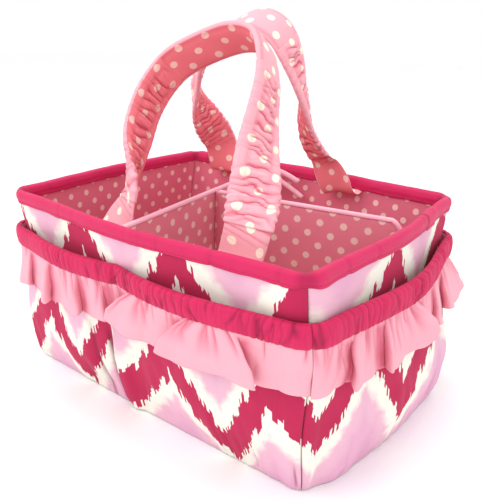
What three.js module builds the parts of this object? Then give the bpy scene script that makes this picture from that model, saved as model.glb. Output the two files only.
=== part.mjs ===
// Fabric storage caddy: a stiffened cloth box with gathered outside pockets, an inside divider with a
// hinged flap, and two strap handles. Millimetres, +Z up, +X along the long side, the front wall at -Y.
import * as THREE from 'three';

const { degToRad, lerp, smoothstep } = THREE.MathUtils;

// Box, measured on the outer cloth
const rimLength = 300;
const rimWidth = 248;
const baseLength = 304;
const baseWidth = 190;
const boxHeight = 180;
const rimCorner = 17;
const baseCorner = 40;
const longWallBowAtRim = 9;
const longWallBowAtBase = 2;
const endWallBowAtRim = 7;
const endWallBowAtBase = 4;
const wallRuns = 8;
const cornerSteps = 3;

// Layers
const outerCloth = 1.2;
const wallBoard = 2.2;
const liningCloth = 1;
const baseCloth = 1.2;
const baseBoard = 2.5;
const layerGap = 0.3;
const seamGap = 0.3;

// Rim binding
const bindingDepth = 11;
const bindingCloth = 1.2;
const bindingRound = 2;

// Outside pockets and their gathered trim
const bandDrop = 33;
const bandDepth = 17;
const bandCloth = 1;
const bandRound = 1.5;
const pocketCloth = 1.2;
const pocketDivision = -10;
const pocketLobe = 8.5;
const endPocketLobe = 8;
const pocketSwellRise = 0.3;
const longPocketRuns = 5;
const endPocketRuns = 4;
const elasticThickness = 1.2;
const elasticDepth = 12;
const ruffleCloth = 0.9;
const ruffleTuck = 1.7;
const ruffleDrop = 34;
const ruffleStandOff = 1;
const ruffleFoldDepth = 8;
const ruffleHemWave = 5;
const longRuffleFolds = 9;
const endRuffleFolds = 7;
const longRuffleRuns = 15;
const endRuffleRuns = 10;
const ruffleEvenness = 0.8;
const ruffleRows = [{ drop: 0.3, open: 0.4 }, { drop: 0.65, open: 0.8 }, { drop: 1, open: 1 }];

// Divider insert
const dividerDrop = 3;
const dividerBoard = 2;
const dividerCloth = 0.8;
const dividerFrontX = -5;
const dividerBackX = -40;
// Gaps left by the divider's ends: to the binding in front, and to the lining behind
const dividerFrontGap = 0.8;
const dividerBackGap = 4;
const dividerChamferLength = 11;
const dividerChamferDepth = 13;
const edgingThickness = 1.2;
const flapPlaceY = 1;
const flapEndGap = 1;
const flapTurn = 8.5;
const flapFoldGap = 0.8;
const flapFoldRun = 4;
const flapFoldThickness = 1.8;

// Handles
const hingeRimInset = 7;
const hingeDrop = 10;
const strapWidth = 34;
const strapThickness = 4.6;
const strapCloth = 0.9;
const strapEdge = 1.1;
const fillingGap = 0.6;
const footWidth = 36;
const footThickness = 1.8;
const footKnee = 11;
const footWallGap = 0.7;
const legLength = 118;
const strapStep = 8;
// On some legs the strap turns past square round this distance from the foot, and back above it
const overturnPlace = 125;
const overturnReach = 65;
const frontHandle = {
  name: 'front_handle',
  facing: -1,
  lean: 37,
  footLength: 36,
  leftTwist: 100,
  rightTwist: 150,
  leftOverturn: 0,
  arch: [
    [-24, 29], [-32, 48], [-42, 74], [-48, 110], [-39, 141], [-18, 158], [12, 170],
    [34, 166], [52, 142], [63, 110], [72, 80], [82, 52], [88, 28],
  ],
  leftFootX: -30,
  rightFootX: 84,
};
const backHandle = {
  name: 'back_handle',
  facing: 1,
  lean: 27,
  footLength: 50,
  leftTwist: 100,
  rightTwist: 190,
  leftOverturn: 45,
  arch: [
    [-96, 30], [-104, 55], [-109, 80], [-103, 104], [-86, 126], [-48, 155], [-12, 168],
    [9, 157], [18, 130], [20, 97], [17, 64], [20, 42], [28, 26],
  ],
  leftFootX: -91,
  rightFootX: 46,
};

const dividerTop = boxHeight - dividerDrop;
const hingeInset = rimWidth / 2 - hingeRimInset;
const hingeHeight = boxHeight - hingeDrop;
const bandTop = boxHeight - bandDrop;
const bandBottom = bandTop - bandDepth;
const wallTop = boxHeight - bindingCloth - 2 * layerGap;
const boardOffset = -outerCloth - layerGap;
const liningOffset = boardOffset - wallBoard - layerGap;
const wallThickness = liningCloth - liningOffset;
const floorHeight = baseCloth + baseBoard + liningCloth;

const sides = {
  front: { turn: 0, long: true, division: pocketDivision, lobe: pocketLobe, folds: longRuffleFolds },
  right: { turn: 90, long: false, lobe: endPocketLobe, folds: endRuffleFolds },
  back: { turn: 180, long: true, division: pocketDivision, lobe: pocketLobe, folds: longRuffleFolds },
  left: { turn: 270, long: false, lobe: endPocketLobe, folds: endRuffleFolds },
};

const colours = {
  print: '#d98aa6',
  board: '#cdb9a0',
  lining: '#c3506a',
  binding: '#e82d69',
  band: '#c2154f',
  ruffle: '#f6a9bd',
  elastic: '#f3efe8',
  edging: '#f7b2c4',
  strap: '#f4a6b9',
  padding: '#f5f2ec',
  base: '#d9d3cf',
};

const caddy = new THREE.Group();

function add(name, geometry, colour, roughness) {
  const material = new THREE.MeshStandardMaterial({ color: colour, roughness, metalness: 0 });
  const mesh = new THREE.Mesh(geometry, material);
  mesh.name = name;
  caddy.add(mesh);
}

// A body through a row of closed sections, with flat ends or joined end to end into a ring. In each
// section, point i of the first half faces point i from the end, so an end closes as a strip. The quads
// of the two halves are split along matching diagonals, so that thin layers keep their thickness where
// they twist and stay clear of their neighbours. A flat ring, such as a sleeve round a strip, also
// matches the first half of its sections to the second.
function loft(sections, { ring = false, flat = false } = {}) {
  const count = sections[0].length;
  const index = [];
  const quad = (a, b, c, d) => index.push(a, b, c, a, c, d);
  const spans = ring ? sections.length : sections.length - 1;
  for (let s = 0; s < spans; s++) {
    const here = s * count;
    const next = ((s + 1) % sections.length) * count;
    const secondFace = flat && s >= spans / 2;
    for (let i = 0; i < count; i++) {
      const j = (i + 1) % count;
      if (i >= count / 2 === secondFace) quad(here + i, here + j, next + j, next + i);
      else quad(here + j, next + j, next + i, here + i);
    }
  }
  if (!ring) {
    const end = (sections.length - 1) * count;
    for (let i = 0; i < count / 2 - 1; i++) {
      const mate = count - 1 - i;
      quad(mate, mate - 1, i + 1, i);
      quad(end + i, end + i + 1, end + mate - 1, end + mate);
    }
  }
  const points = sections.flat();
  if (enclosedVolume(points, index) < 0) index.reverse();
  const geometry = new THREE.BufferGeometry();
  geometry.setAttribute('position', new THREE.Float32BufferAttribute(points.flatMap((p) => p.toArray()), 3));
  geometry.setIndex(index);
  geometry.computeVertexNormals();
  return geometry;
}

function enclosedVolume(points, index) {
  const cross = new THREE.Vector3();
  let volume = 0;
  for (let i = 0; i < index.length; i += 3) {
    cross.crossVectors(points[index[i + 1]], points[index[i + 2]]);
    volume += points[index[i]].dot(cross) / 6;
  }
  return volume;
}

// The box outline at a height, as half sizes
function boxAt(z) {
  const rise = z / boxHeight;
  return {
    length: lerp(baseLength, rimLength, rise) / 2,
    width: lerp(baseWidth, rimWidth, rise) / 2,
    corner: lerp(baseCorner, rimCorner, rise),
    longBow: lerp(longWallBowAtBase, longWallBowAtRim, rise),
    endBow: lerp(endWallBowAtBase, endWallBowAtRim, rise),
  };
}

// How far the pocket cloth stands off the box, and how much tighter its corners are, up its height
const pocketShape = [
  { share: 0, stand: layerGap, tightness: 1 },
  { share: 0.08, stand: 3.5, tightness: 0.9 },
  { share: 0.34, stand: 6.5, tightness: 0.64 },
  { share: 0.68, stand: 5, tightness: 0.74 },
  { share: 1, stand: 2.3, tightness: 0.84 },
];

function pocketAt(z) {
  const share = z / bandTop;
  const upper = Math.max(1, pocketShape.findIndex((key) => key.share >= share));
  const low = pocketShape[upper - 1];
  const high = pocketShape[upper];
  const f = (share - low.share) / (high.share - low.share);
  const stand = lerp(low.stand, high.stand, f);
  const box = boxAt(z);
  return {
    ...box,
    length: box.length + stand,
    width: box.width + stand,
    corner: (box.corner + stand) * lerp(low.tightness, high.tightness, f),
    stand,
  };
}

// A column runs up a wall from base to rim: arc goes from -1 at one corner seam to 0 where the wall
// straightens and on to 1 at the other seam, and run from -1 to 1 along the straight stretch.
function wallColumns(runs) {
  const columns = runs.map((run) => ({ arc: 0, run }));
  for (let i = 1; i <= cornerSteps; i++) {
    columns.unshift({ arc: -i / cornerSteps, run: -1 });
    columns.push({ arc: i / cornerSteps, run: 1 });
  }
  return columns;
}

function evenRuns(from, to, steps) {
  return Array.from({ length: steps + 1 }, (_, i) => lerp(from, to, i / steps));
}

function plainColumns() {
  return wallColumns(evenRuns(-1, 1, wallRuns));
}

function divisionRun(side) {
  const outline = pocketAt(bandTop);
  return side.division / (outline.length - outline.corner);
}

function pocketRuns(side, stepsPerPocket) {
  if (!side.long) return evenRuns(-1, 1, 2 * stepsPerPocket);
  const division = divisionRun(side);
  return [...evenRuns(-1, division, stepsPerPocket), ...evenRuns(division, 1, stepsPerPocket).slice(1)];
}

function bowShare(run) {
  return (1 + Math.cos(Math.PI * run)) / 2;
}

function wallPoint(side, column, outline, offset, z, gap = seamGap) {
  const along = side.long ? outline.length : outline.width;
  const across = side.long ? outline.width : outline.length;
  const bow = (side.long ? outline.longBow : outline.endBow) * bowShare(column.run);
  const radius = outline.corner + offset;
  const angle = column.arc * (Math.PI / 4 - gap / 2 / radius);
  const t = column.run * (along - outline.corner) + radius * Math.sin(angle);
  const n = across - outline.corner + radius * Math.cos(angle) + bow;
  return new THREE.Vector3(t, -n, z).applyAxisAngle(new THREE.Vector3(0, 0, 1), degToRad(side.turn));
}

// A layer of a wall: at each column a profile of [offset, z] points, first along its outer face and
// then back along its inner face
function wallLayer(side, columns, outlineAt, profile) {
  return loft(columns.map((column) => profile(column).map(
    ([offset, z]) => wallPoint(side, column, outlineAt(z), offset, z),
  )));
}

function sheet(outer, thickness) {
  const inner = outer.map(([offset, z]) => [offset - thickness, z]).reverse();
  return [...outer, ...inner];
}

function perimeter(offset, z) {
  const columns = plainColumns().slice(0, -1);
  return Object.values(sides).flatMap((side) => columns.map(
    (column) => wallPoint(side, column, boxAt(z), offset, z, 0),
  ));
}

function basePlate(offset, bottom, thickness) {
  const shape = new THREE.Shape(perimeter(offset, bottom).map((p) => new THREE.Vector2(p.x, p.y)));
  const geometry = new THREE.ExtrudeGeometry(shape, { depth: thickness, bevelEnabled: false });
  return geometry.translate(0, 0, bottom);
}

function addBox() {
  add('base_cover', basePlate(layerGap + pocketCloth, 0, baseCloth), colours.base, 0.9);
  add('base_board', basePlate(liningOffset, baseCloth, baseBoard), colours.board, 0.8);
  const liningInset = liningOffset - liningCloth - layerGap;
  add('base_lining', basePlate(liningInset, baseCloth + baseBoard, liningCloth), colours.lining, 0.9);
  const layers = [
    { name: 'board', offset: boardOffset, thickness: wallBoard, bottom: baseCloth, colour: colours.board },
    { name: 'panel', offset: 0, thickness: outerCloth, bottom: baseCloth, colour: colours.print },
    {
      name: 'lining', offset: liningOffset, thickness: liningCloth, bottom: baseCloth + baseBoard,
      colour: colours.lining,
    },
  ];
  const columns = plainColumns();
  for (const [name, side] of Object.entries(sides)) {
    for (const layer of layers) {
      const faces = [[layer.offset, layer.bottom], [layer.offset, wallTop]];
      const geometry = wallLayer(side, columns, boxAt, () => sheet(faces, layer.thickness));
      add(`${name}_${layer.name}`, geometry, layer.colour, 0.85);
    }
  }
}

// The tape folds over the top edge of all the layers and runs round the box as one ring
function addBinding() {
  const out = layerGap + bindingCloth;
  const into = -wallThickness - layerGap - bindingCloth;
  const bottom = boxHeight - bindingDepth;
  const shoulder = boxHeight - bindingRound;
  const profile = [
    [out, bottom], [out, shoulder], [out - bindingRound, boxHeight],
    [into + bindingRound, boxHeight], [into, shoulder], [into, bottom],
    [into + bindingCloth, bottom], [into + bindingCloth, shoulder],
    [into + bindingRound, boxHeight - bindingCloth], [out - bindingRound, boxHeight - bindingCloth],
    [out - bindingCloth, shoulder], [out - bindingCloth, bottom],
  ];
  const columns = plainColumns().slice(0, -1);
  const sections = Object.values(sides).flatMap((side) => columns.map((column) => profile.map(
    ([offset, z]) => wallPoint(side, column, boxAt(z), offset, z, 0),
  )));
  add('rim_binding', loft(sections, { ring: true }), colours.binding, 0.6);
}

// Offset of a pocket's inner face from its outline: it is sewn to the wall at the division and swells
// between the seams
function pocketOffset(side, column, z) {
  const division = side.long ? divisionRun(side) : 1;
  const before = column.run <= division;
  const share = before ? (column.run + 1) / (division + 1) : (column.run - division) / (1 - division);
  const swell = side.lobe * Math.sin(Math.PI * share) * smoothstep(z / bandTop, 0, pocketSwellRise);
  if (!side.long) return swell;
  const nearDivision = before ? share : 1 - share;
  return swell - (pocketAt(z).stand - layerGap) * nearDivision;
}

function addPocket(name, side) {
  const columns = wallColumns(pocketRuns(side, side.long ? longPocketRuns : endPocketRuns));
  const pocketTop = bandTop - bandCloth - layerGap;
  const heights = [baseCloth, ...pocketShape.slice(1, -1).map((key) => key.share * bandTop), pocketTop];
  const outward = layerGap + pocketCloth;
  const pocket = (column) => sheet(
    heights.map((z) => [pocketOffset(side, column, z) + pocketCloth, z]), pocketCloth,
  );
  add(`${name}_pocket`, wallLayer(side, columns, pocketAt, pocket), colours.print, 0.85);

  const elasticBottom = bandBottom + ruffleTuck + layerGap;
  const elasticOut = outward + elasticThickness;
  const elastic = (column) => sheet([elasticBottom, elasticBottom + elasticDepth].map(
    (z) => [pocketOffset(side, column, z) + elasticOut, z],
  ), elasticThickness);
  add(`${name}_elastic`, wallLayer(side, columns, pocketAt, elastic), colours.elastic, 0.9);

  const bandOut = elasticOut + layerGap + bandCloth;
  const shoulder = bandTop - bandRound;
  const band = (column) => [
    [bandOut, bandBottom], [bandOut, shoulder], [bandOut - bandRound, bandTop], [0, bandTop],
    [0, bandTop - bandCloth], [bandOut - bandRound, bandTop - bandCloth],
    [bandOut - bandCloth, shoulder], [bandOut - bandCloth, bandBottom],
  ].map(([offset, z]) => [pocketOffset(side, column, z) + offset, z]);
  add(`${name}_band`, wallLayer(side, columns, pocketAt, band), colours.band, 0.7);

  add(`${name}_ruffle`, ruffle(side, outward), colours.ruffle, 0.9);
}

// Where a column stands along its wall, from 0 at one corner seam to 1 at the other
function columnShare(side, column) {
  const outline = pocketAt(bandBottom);
  const halfStraight = (side.long ? outline.length : outline.width) - outline.corner;
  const arc = outline.corner * Math.PI / 4;
  return (column.run * halfStraight + column.arc * arc) / (2 * (halfStraight + arc)) + 0.5;
}

// The frill hangs from behind the band in folds that deepen and widen unevenly towards the hem
function ruffle(side, outward) {
  const columns = wallColumns(pocketRuns(side, side.long ? longRuffleRuns : endRuffleRuns));
  const top = bandBottom + ruffleTuck;
  const neck = bandBottom - 2 * layerGap;
  const fold = (share) => {
    const drift = 0.3 * Math.sin(4 * Math.PI * share) + 0.15 * Math.sin(10 * Math.PI * share + 1);
    const wave = 0.5 - 0.5 * Math.cos(2 * Math.PI * (side.folds * share + drift));
    return wave * (ruffleEvenness + (1 - ruffleEvenness) * Math.sin(6 * Math.PI * share + 2));
  };
  return wallLayer(side, columns, pocketAt, (column) => {
    const depth = fold(columnShare(side, column));
    const hem = bandBottom - ruffleDrop + ruffleHemWave * (1 - depth) / 2;
    const rows = [
      [top, 0], [neck, 0], ...ruffleRows.map(({ drop, open }) => [lerp(neck, hem, drop), open]),
    ];
    return sheet(rows.map(([z, open]) => [
      pocketOffset(side, column, z) + outward + ruffleCloth + open * (ruffleStandOff + ruffleFoldDepth * depth), z,
    ]), ruffleCloth);
  });
}

// Half the clear width between the long walls' linings at a height and a place along them
function clearHalfWidth(z, x) {
  const box = boxAt(z);
  const run = THREE.MathUtils.clamp(x / (box.length - box.corner), -1, 1);
  return box.width - wallThickness + box.longBow * bowShare(run);
}

// An upright stiffened divider: near(z) and far(z) are its two ends along its own line, and with foldAt
// its cover thins to a fold over that first stretch, where it has neither board nor edging
function addDivider(name, place, near, far, foldAt) {
  const half = dividerBoard / 2 + layerGap + dividerCloth;
  const [bottom, knee, top] = [floorHeight + layerGap, dividerTop - dividerChamferDepth, dividerTop];
  const stations = foldAt ? [0, foldAt / far(bottom), 1] : [0, 1];
  const section = (share, points) => points.map(
    ([across, z]) => place(lerp(near(z), far(z), share), across, z),
  );
  const halfAt = (share) => (foldAt && share === 0 ? flapFoldThickness / 2 : half);
  const cover = (share) => {
    const out = halfAt(share);
    const into = out - dividerCloth;
    return section(share, [
      [out, bottom], [out, knee], [out, top], [-out, top], [-out, knee], [-out, bottom],
      [-into, bottom], [-into, knee], [-into, top - dividerCloth], [into, top - dividerCloth],
      [into, knee], [into, bottom],
    ]);
  };
  add(`${name}_cover`, loft(stations.map(cover)), colours.lining, 0.9);

  const boardTop = top - dividerCloth - layerGap;
  const board = (share) => section(share, [
    [dividerBoard / 2, bottom], [dividerBoard / 2, knee], [dividerBoard / 2, boardTop],
    [-dividerBoard / 2, boardTop], [-dividerBoard / 2, knee], [-dividerBoard / 2, bottom],
  ]);
  add(`${name}_board`, loft(stations.slice(foldAt ? 1 : 0).map(board)), colours.board, 0.8);

  const path = [
    [foldAt || near(top), top + layerGap], [far(top), top + layerGap],
    [far(knee) + layerGap, knee + layerGap],
  ];
  const slope = Math.atan2(dividerChamferDepth, far(knee) - far(top));
  const mitre = edgingThickness * Math.tan(slope / 2);
  const outer = [
    [path[0][0], path[0][1] + edgingThickness],
    [path[1][0] + mitre, path[1][1] + edgingThickness],
    [path[2][0] + edgingThickness * Math.sin(slope), path[2][1] + edgingThickness * Math.cos(slope)],
  ];
  const strip = (across) => [...outer, ...path.toReversed()].map(([d, z]) => place(d, across, z));
  add(`${name}_edging`, loft([strip(half), strip(-half)]), colours.edging, 0.7);
}

function addDividers() {
  const half = dividerBoard / 2 + layerGap + dividerCloth;
  const frontInset = layerGap + bindingCloth + dividerFrontGap;
  const frontEnd = (z) => frontInset - clearHalfWidth(z, dividerFrontX);
  const backEnd = (z) => clearHalfWidth(z, dividerBackX) - dividerBackGap;
  const front = new THREE.Vector2(dividerFrontX, frontEnd(dividerTop));
  const back = new THREE.Vector2(dividerBackX, backEnd(dividerTop));
  const line = back.clone().sub(front).normalize();
  const square = new THREE.Vector2(line.y, -line.x);
  const onCross = (y) => (y - front.y) / line.y;
  const knee = dividerTop - dividerChamferDepth;
  const crossFar = (z) => {
    const sloped = Math.max(0, z - knee) / dividerChamferDepth;
    return onCross(backEnd(Math.min(z, knee))) - sloped * dividerChamferLength;
  };
  const crossPlace = (d, across, z) => {
    const p = front.clone().addScaledVector(line, d).addScaledVector(square, across);
    return new THREE.Vector3(p.x, p.y, z);
  };
  addDivider('cross', crossPlace, (z) => onCross(frontEnd(z)), crossFar);

  const axis = front.clone().addScaledVector(line, onCross(flapPlaceY))
    .addScaledVector(square, half + flapFoldGap / 2);
  const reach = new THREE.Vector2(1, 0).rotateAround(new THREE.Vector2(), degToRad(flapTurn));
  const side = new THREE.Vector2(-reach.y, reach.x);
  const flapPlace = (d, across, z) => {
    const p = axis.clone().addScaledVector(reach, d).addScaledVector(side, across);
    return new THREE.Vector3(p.x, p.y, z);
  };
  // The flap swings past the end wall under the binding's inner fold
  const endWall = boxAt(boxHeight).length + endWallBowAtRim - wallThickness - layerGap - bindingCloth;
  const flapReach = endWall - flapEndGap - axis.x;
  const flapFar = (z) => flapReach - Math.max(0, z - knee) / dividerChamferDepth * dividerChamferLength;
  addDivider('flap', flapPlace, () => flapFoldGap / 2, flapFar, flapFoldRun);
}

// One strap from foot to foot: its centre line, and its width direction, which lies along the wall at
// the feet and turns square to it up the legs
function strapPath(handle) {
  const lean = degToRad(handle.lean);
  const inward = -handle.facing;
  const onPlane = ([u, v]) => new THREE.Vector3(
    u, handle.facing * hingeInset + inward * v * Math.sin(lean), hingeHeight + v * Math.cos(lean),
  );
  const footZ = boxHeight - bindingDepth - layerGap - footThickness / 2;
  const wall = (x, inset) => {
    const corners = [x - footWidth / 2, x + footWidth / 2].map((edge) => clearHalfWidth(footZ, edge));
    return new THREE.Vector3(x, handle.facing * (Math.min(...corners) - footWallGap - inset), footZ);
  };
  const curve = new THREE.CatmullRomCurve3([
    wall(handle.leftFootX, 0), wall(handle.leftFootX, footKnee), ...handle.arch.map(onPlane),
    wall(handle.rightFootX, footKnee), wall(handle.rightFootX, 0),
  ], false, 'centripetal');
  const length = curve.getLength();
  const across = new THREE.Vector3(0, -Math.cos(lean), -handle.facing * Math.sin(lean));
  const frameAt = (distance) => {
    const centre = curve.getPointAt(distance / length);
    const tangent = curve.getTangentAt(distance / length);
    const onLeft = distance < length / 2;
    const fromFoot = onLeft ? distance : length - distance;
    const beyond = Math.min(1, Math.abs(fromFoot - overturnPlace) / overturnReach);
    const overturn = onLeft ? degToRad(handle.leftOverturn) * Math.cos(beyond * Math.PI / 2) ** 2 : 0;
    const quarter = smoothstep(fromFoot, 0, onLeft ? handle.leftTwist : handle.rightTwist) * Math.PI / 2;
    const turned = quarter + overturn;
    const footSide = onLeft ? inward : -inward;
    const width = new THREE.Vector3(footSide * Math.cos(turned), 0, 0).addScaledVector(across, Math.sin(turned));
    width.addScaledVector(tangent, -width.dot(tangent)).normalize();
    const out = new THREE.Vector3().crossVectors(width, tangent);
    return { centre, width, out };
  };
  return { length, frameAt };
}

function strapRing(frame, outline) {
  return outline.map(([across, out]) => frame.centre.clone()
    .addScaledVector(frame.width, across).addScaledVector(frame.out, out));
}

function strapOutline(width, thickness, edge) {
  const [w, t] = [width / 2, thickness / 2];
  return [
    [-w, t - edge], [-w + edge, t], [w - edge, t], [w, t - edge],
    [w, edge - t], [w - edge, -t], [edge - w, -t], [-w, edge - t],
  ];
}

function distances(from, to) {
  const steps = Math.ceil((to - from) / strapStep);
  return Array.from({ length: steps + 1 }, (_, i) => lerp(from, to, i / steps));
}

// A hollow sleeve of strap cloth, open at both ends
function sleeve(path, places) {
  const frames = places.map(path.frameAt);
  const outline = strapOutline(strapWidth, strapThickness, strapEdge);
  const bore = strapOutline(strapWidth - 2 * strapCloth, strapThickness - 2 * strapCloth, strapEdge / 2);
  return loft(outline.map((point, i) => [
    ...frames.map((frame) => strapRing(frame, [point])[0]),
    ...frames.map((frame) => strapRing(frame, [bore[i]])[0]).reverse(),
  ]), { ring: true, flat: true });
}

// The strip inside a sleeve ends one step short of each of its mouths
function filling(path, places) {
  const w = strapWidth / 2 - strapCloth - strapEdge;
  const t = strapThickness / 2 - strapCloth - fillingGap;
  const outline = [[-w, t], [w, t], [w, -t], [-w, -t]];
  const sections = places.slice(1, -1).map((place) => strapRing(path.frameAt(place), outline));
  return loft(sections);
}

function foot(path, footLength, from, to) {
  const t = footThickness / 2;
  const sections = distances(from, to).map((place) => {
    const fromFoot = Math.min(place, path.length - place);
    const w = lerp(footWidth, strapWidth, fromFoot / footLength) / 2;
    return strapRing(path.frameAt(place), [[-w, t], [0, t], [w, t], [w, -t], [0, -t], [-w, -t]]);
  });
  return loft(sections);
}

function addHandle(handle) {
  const path = strapPath(handle);
  const { footLength } = handle;
  const end = path.length;
  const legEnd = footLength + legLength;
  const half = layerGap / 2;
  add(`${handle.name}_left_foot`, foot(path, footLength, 0, footLength - half), colours.strap, 0.9);
  add(`${handle.name}_right_foot`, foot(path, footLength, end - footLength + half, end), colours.strap, 0.9);
  const leftLeg = distances(footLength + half, legEnd - half);
  const rightLeg = distances(end - legEnd + half, end - footLength - half);
  const grip = distances(legEnd + half, end - legEnd - half);
  add(`${handle.name}_left_leg`, sleeve(path, leftLeg), colours.strap, 0.9);
  add(`${handle.name}_right_leg`, sleeve(path, rightLeg), colours.strap, 0.9);
  add(`${handle.name}_grip`, sleeve(path, grip), colours.strap, 0.9);
  add(`${handle.name}_left_elastic`, filling(path, leftLeg), colours.elastic, 0.9);
  add(`${handle.name}_right_elastic`, filling(path, rightLeg), colours.elastic, 0.9);
  add(`${handle.name}_padding`, filling(path, grip), colours.padding, 0.95);
}

addBox();
addBinding();
for (const [name, side] of Object.entries(sides)) addPocket(name, side);
addDividers();
addHandle(frontHandle);
addHandle(backHandle);

export default caddy;
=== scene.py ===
"""Looks of a fabric storage caddy: a stiffened cloth box with gathered outside pockets, ruched bands and
frills, an inside divider with a hinged flap, and two dotted strap handles. All sizes are in millimetres."""
import logging
import math
from dataclasses import dataclass, field
from enum import Enum

import bpy
import numpy as np
from mathutils import Matrix, Vector


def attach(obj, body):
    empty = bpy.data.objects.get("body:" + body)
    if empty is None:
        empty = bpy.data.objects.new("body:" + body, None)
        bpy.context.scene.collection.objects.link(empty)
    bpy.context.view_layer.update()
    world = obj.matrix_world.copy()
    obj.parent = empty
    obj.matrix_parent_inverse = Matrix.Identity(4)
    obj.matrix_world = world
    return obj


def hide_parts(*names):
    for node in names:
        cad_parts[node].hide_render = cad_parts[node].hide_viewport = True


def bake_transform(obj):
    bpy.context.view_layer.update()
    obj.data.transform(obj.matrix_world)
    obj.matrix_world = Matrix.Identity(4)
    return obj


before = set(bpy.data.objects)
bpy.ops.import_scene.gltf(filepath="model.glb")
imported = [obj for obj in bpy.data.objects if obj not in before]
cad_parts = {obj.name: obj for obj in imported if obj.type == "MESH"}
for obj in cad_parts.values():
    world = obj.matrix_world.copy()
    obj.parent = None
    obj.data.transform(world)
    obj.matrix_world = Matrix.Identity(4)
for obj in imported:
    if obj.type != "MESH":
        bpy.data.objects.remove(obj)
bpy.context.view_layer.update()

MM = 0.001
LAYER_GAP = 0.3
SEAM_GAP = 0.3
PRINT_PERIOD = 99.5
Array = np.ndarray
Piece = bpy.types.Object
Tree = bpy.types.NodeTree
Socket = bpy.types.NodeSocket

CLOTH_UV = "cloth"
SHADE_DEPTH = "shade_depth"
MATHS = "ShaderNodeMath"
VECTORS = "ShaderNodeVectorMath"
NOISE = "ShaderNodeTexNoise"
MIX = "ShaderNodeMix"
COLOURS = {"data_type": "RGBA"}
LOG = logging.getLogger("caddy")


def linear(hex_colour: str) -> tuple[float, float, float, float]:
    """Turns an sRGB hex colour to linear light.

    Args:
        hex_colour: a colour such as "#e82d69".

    Returns:
        Linear red, green, blue and an alpha of 1.
    """
    channels = [int(hex_colour[i : i + 2], 16) / 255 for i in (1, 3, 5)]
    bright = [c / 12.92 if c <= 0.04045 else ((c + 0.055) / 1.055) ** 2.4 for c in channels]
    return (*bright, 1.0)


def add_node(
    tree: Tree, kind: str, settings: dict | str | None = None, inputs: dict | None = None
) -> bpy.types.Node:
    """Adds a node with its settings and links.

    Args:
        tree: the tree that gets the node.
        kind: the node's type name.
        settings: properties of the node, or just the name of its operation.
        inputs: what to link or to set, by socket name or number; a node stands for its first output.

    Returns:
        The new node.
    """
    made = tree.nodes.new(kind)
    if isinstance(settings, str):
        settings = {"operation": settings}
    for name, value in (settings or {}).items():
        setattr(made, name, value)
    for key, value in (inputs or {}).items():
        if isinstance(value, bpy.types.Node):
            value = value.outputs[0]
        if isinstance(value, Socket):
            tree.links.new(value, made.inputs[key])
        else:
            made.inputs[key].default_value = value
    return made


# Finishes


@dataclass(frozen=True)
class PlainCotton:
    """Plain-woven dyed cotton: matt, with a faint fuzz of fibre ends and slightly uneven dye."""

    name: str
    colour: str
    shade: str
    roughness: float = 0.85
    sheen: float = 0.05
    # Real threads lie 0.4 mm apart, too fine to show in the render, so the weave is drawn at 1.1 mm
    thread: float = 1.1
    relief: float = 0.35
    on_cloth_map: bool = True
    # Painted shade in the creases: this colour stands in for light that passes between the folds and takes on
    # more of the dye
    crease: str = ""

    def coordinates(self, tree: Tree) -> Socket:
        """Returns the cloth's own map, or object space where a piece has none, in millimetres."""
        kind, output = ("ShaderNodeUVMap", "UV") if self.on_cloth_map else ("ShaderNodeTexCoord", "Object")
        place = add_node(tree, kind, {"uv_map": CLOTH_UV} if self.on_cloth_map else None).outputs[output]
        return add_node(tree, VECTORS, "SCALE", {0: place, "Scale": 1 / MM}).outputs[0]

    def colouring(self, tree: Tree, place: Socket) -> Socket:
        """Colours the cloth, unevenly over patches about 30 mm wide.

        Args:
            tree: the material's tree.
            place: places on the cloth, in millimetres.

        Returns:
            The colour.
        """
        patches = add_node(tree, NOISE, None, {"Vector": place, "Scale": 0.03, "Detail": 4.0})
        colours = {0: patches, 6: linear(self.colour), 7: linear(self.shade)}
        return add_node(tree, MIX, COLOURS, colours).outputs[2]

    def creased(self, tree: Tree, colour: Socket) -> Socket:
        """Paints shade into the creases.

        Args:
            tree: the material's tree.
            colour: the cloth's colour.

        Returns:
            That colour, mixed towards the painted crease shade where the piece's map of shade depth says.
        """
        if not self.crease:
            return colour
        # Painted shade: the map of shade depth mixes the cloth's colour towards the crease colour
        shade_depth = add_node(tree, "ShaderNodeAttribute", {"attribute_name": SHADE_DEPTH}).outputs["Fac"]
        return add_node(tree, MIX, COLOURS, {0: shade_depth, 6: colour, 7: linear(self.crease)}).outputs[2]

    def height(self, tree: Tree, place: Socket) -> Socket:
        """Works out the weave's relief.

        Args:
            tree: the material's tree.
            place: places on the cloth, in millimetres.

        Returns:
            The height: warp and weft ribs with some slub.
        """
        # A wave texture's band repeats every 0.314 / scale
        scale = 0.314 / self.thread
        warp, weft = (
            add_node(tree, "ShaderNodeTexWave", {"bands_direction": way}, {"Vector": place, "Scale": scale})
            for way in ("X", "Y")
        )
        slub = add_node(tree, NOISE, None, {"Vector": place, "Scale": 0.5, "Detail": 3.0})
        ribs = {0: warp.outputs["Fac"], 1: weft.outputs["Fac"], 2: slub}
        return add_node(tree, MATHS, "MULTIPLY_ADD", ribs).outputs[0]

    def build(self) -> bpy.types.Material:
        """Makes the material.

        Returns:
            The material.
        """
        material = bpy.data.materials.new(self.name)
        material.use_nodes = True
        tree = material.node_tree
        shader = tree.nodes["Principled BSDF"]
        place = self.coordinates(tree)
        tree.links.new(self.creased(tree, self.colouring(tree, place)), shader.inputs["Base Color"])
        for socket, value in (
            ("Roughness", self.roughness), ("Sheen Weight", self.sheen), ("Sheen Roughness", 0.5),
            ("Specular IOR Level", 0.25),
        ):
            shader.inputs[socket].default_value = value
        relief = {"Strength": self.relief, "Distance": 0.0004, "Height": self.height(tree, place)}
        bump = add_node(tree, "ShaderNodeBump", None, relief)
        tree.links.new(bump.outputs["Normal"], shader.inputs["Normal"])
        return material


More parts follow.
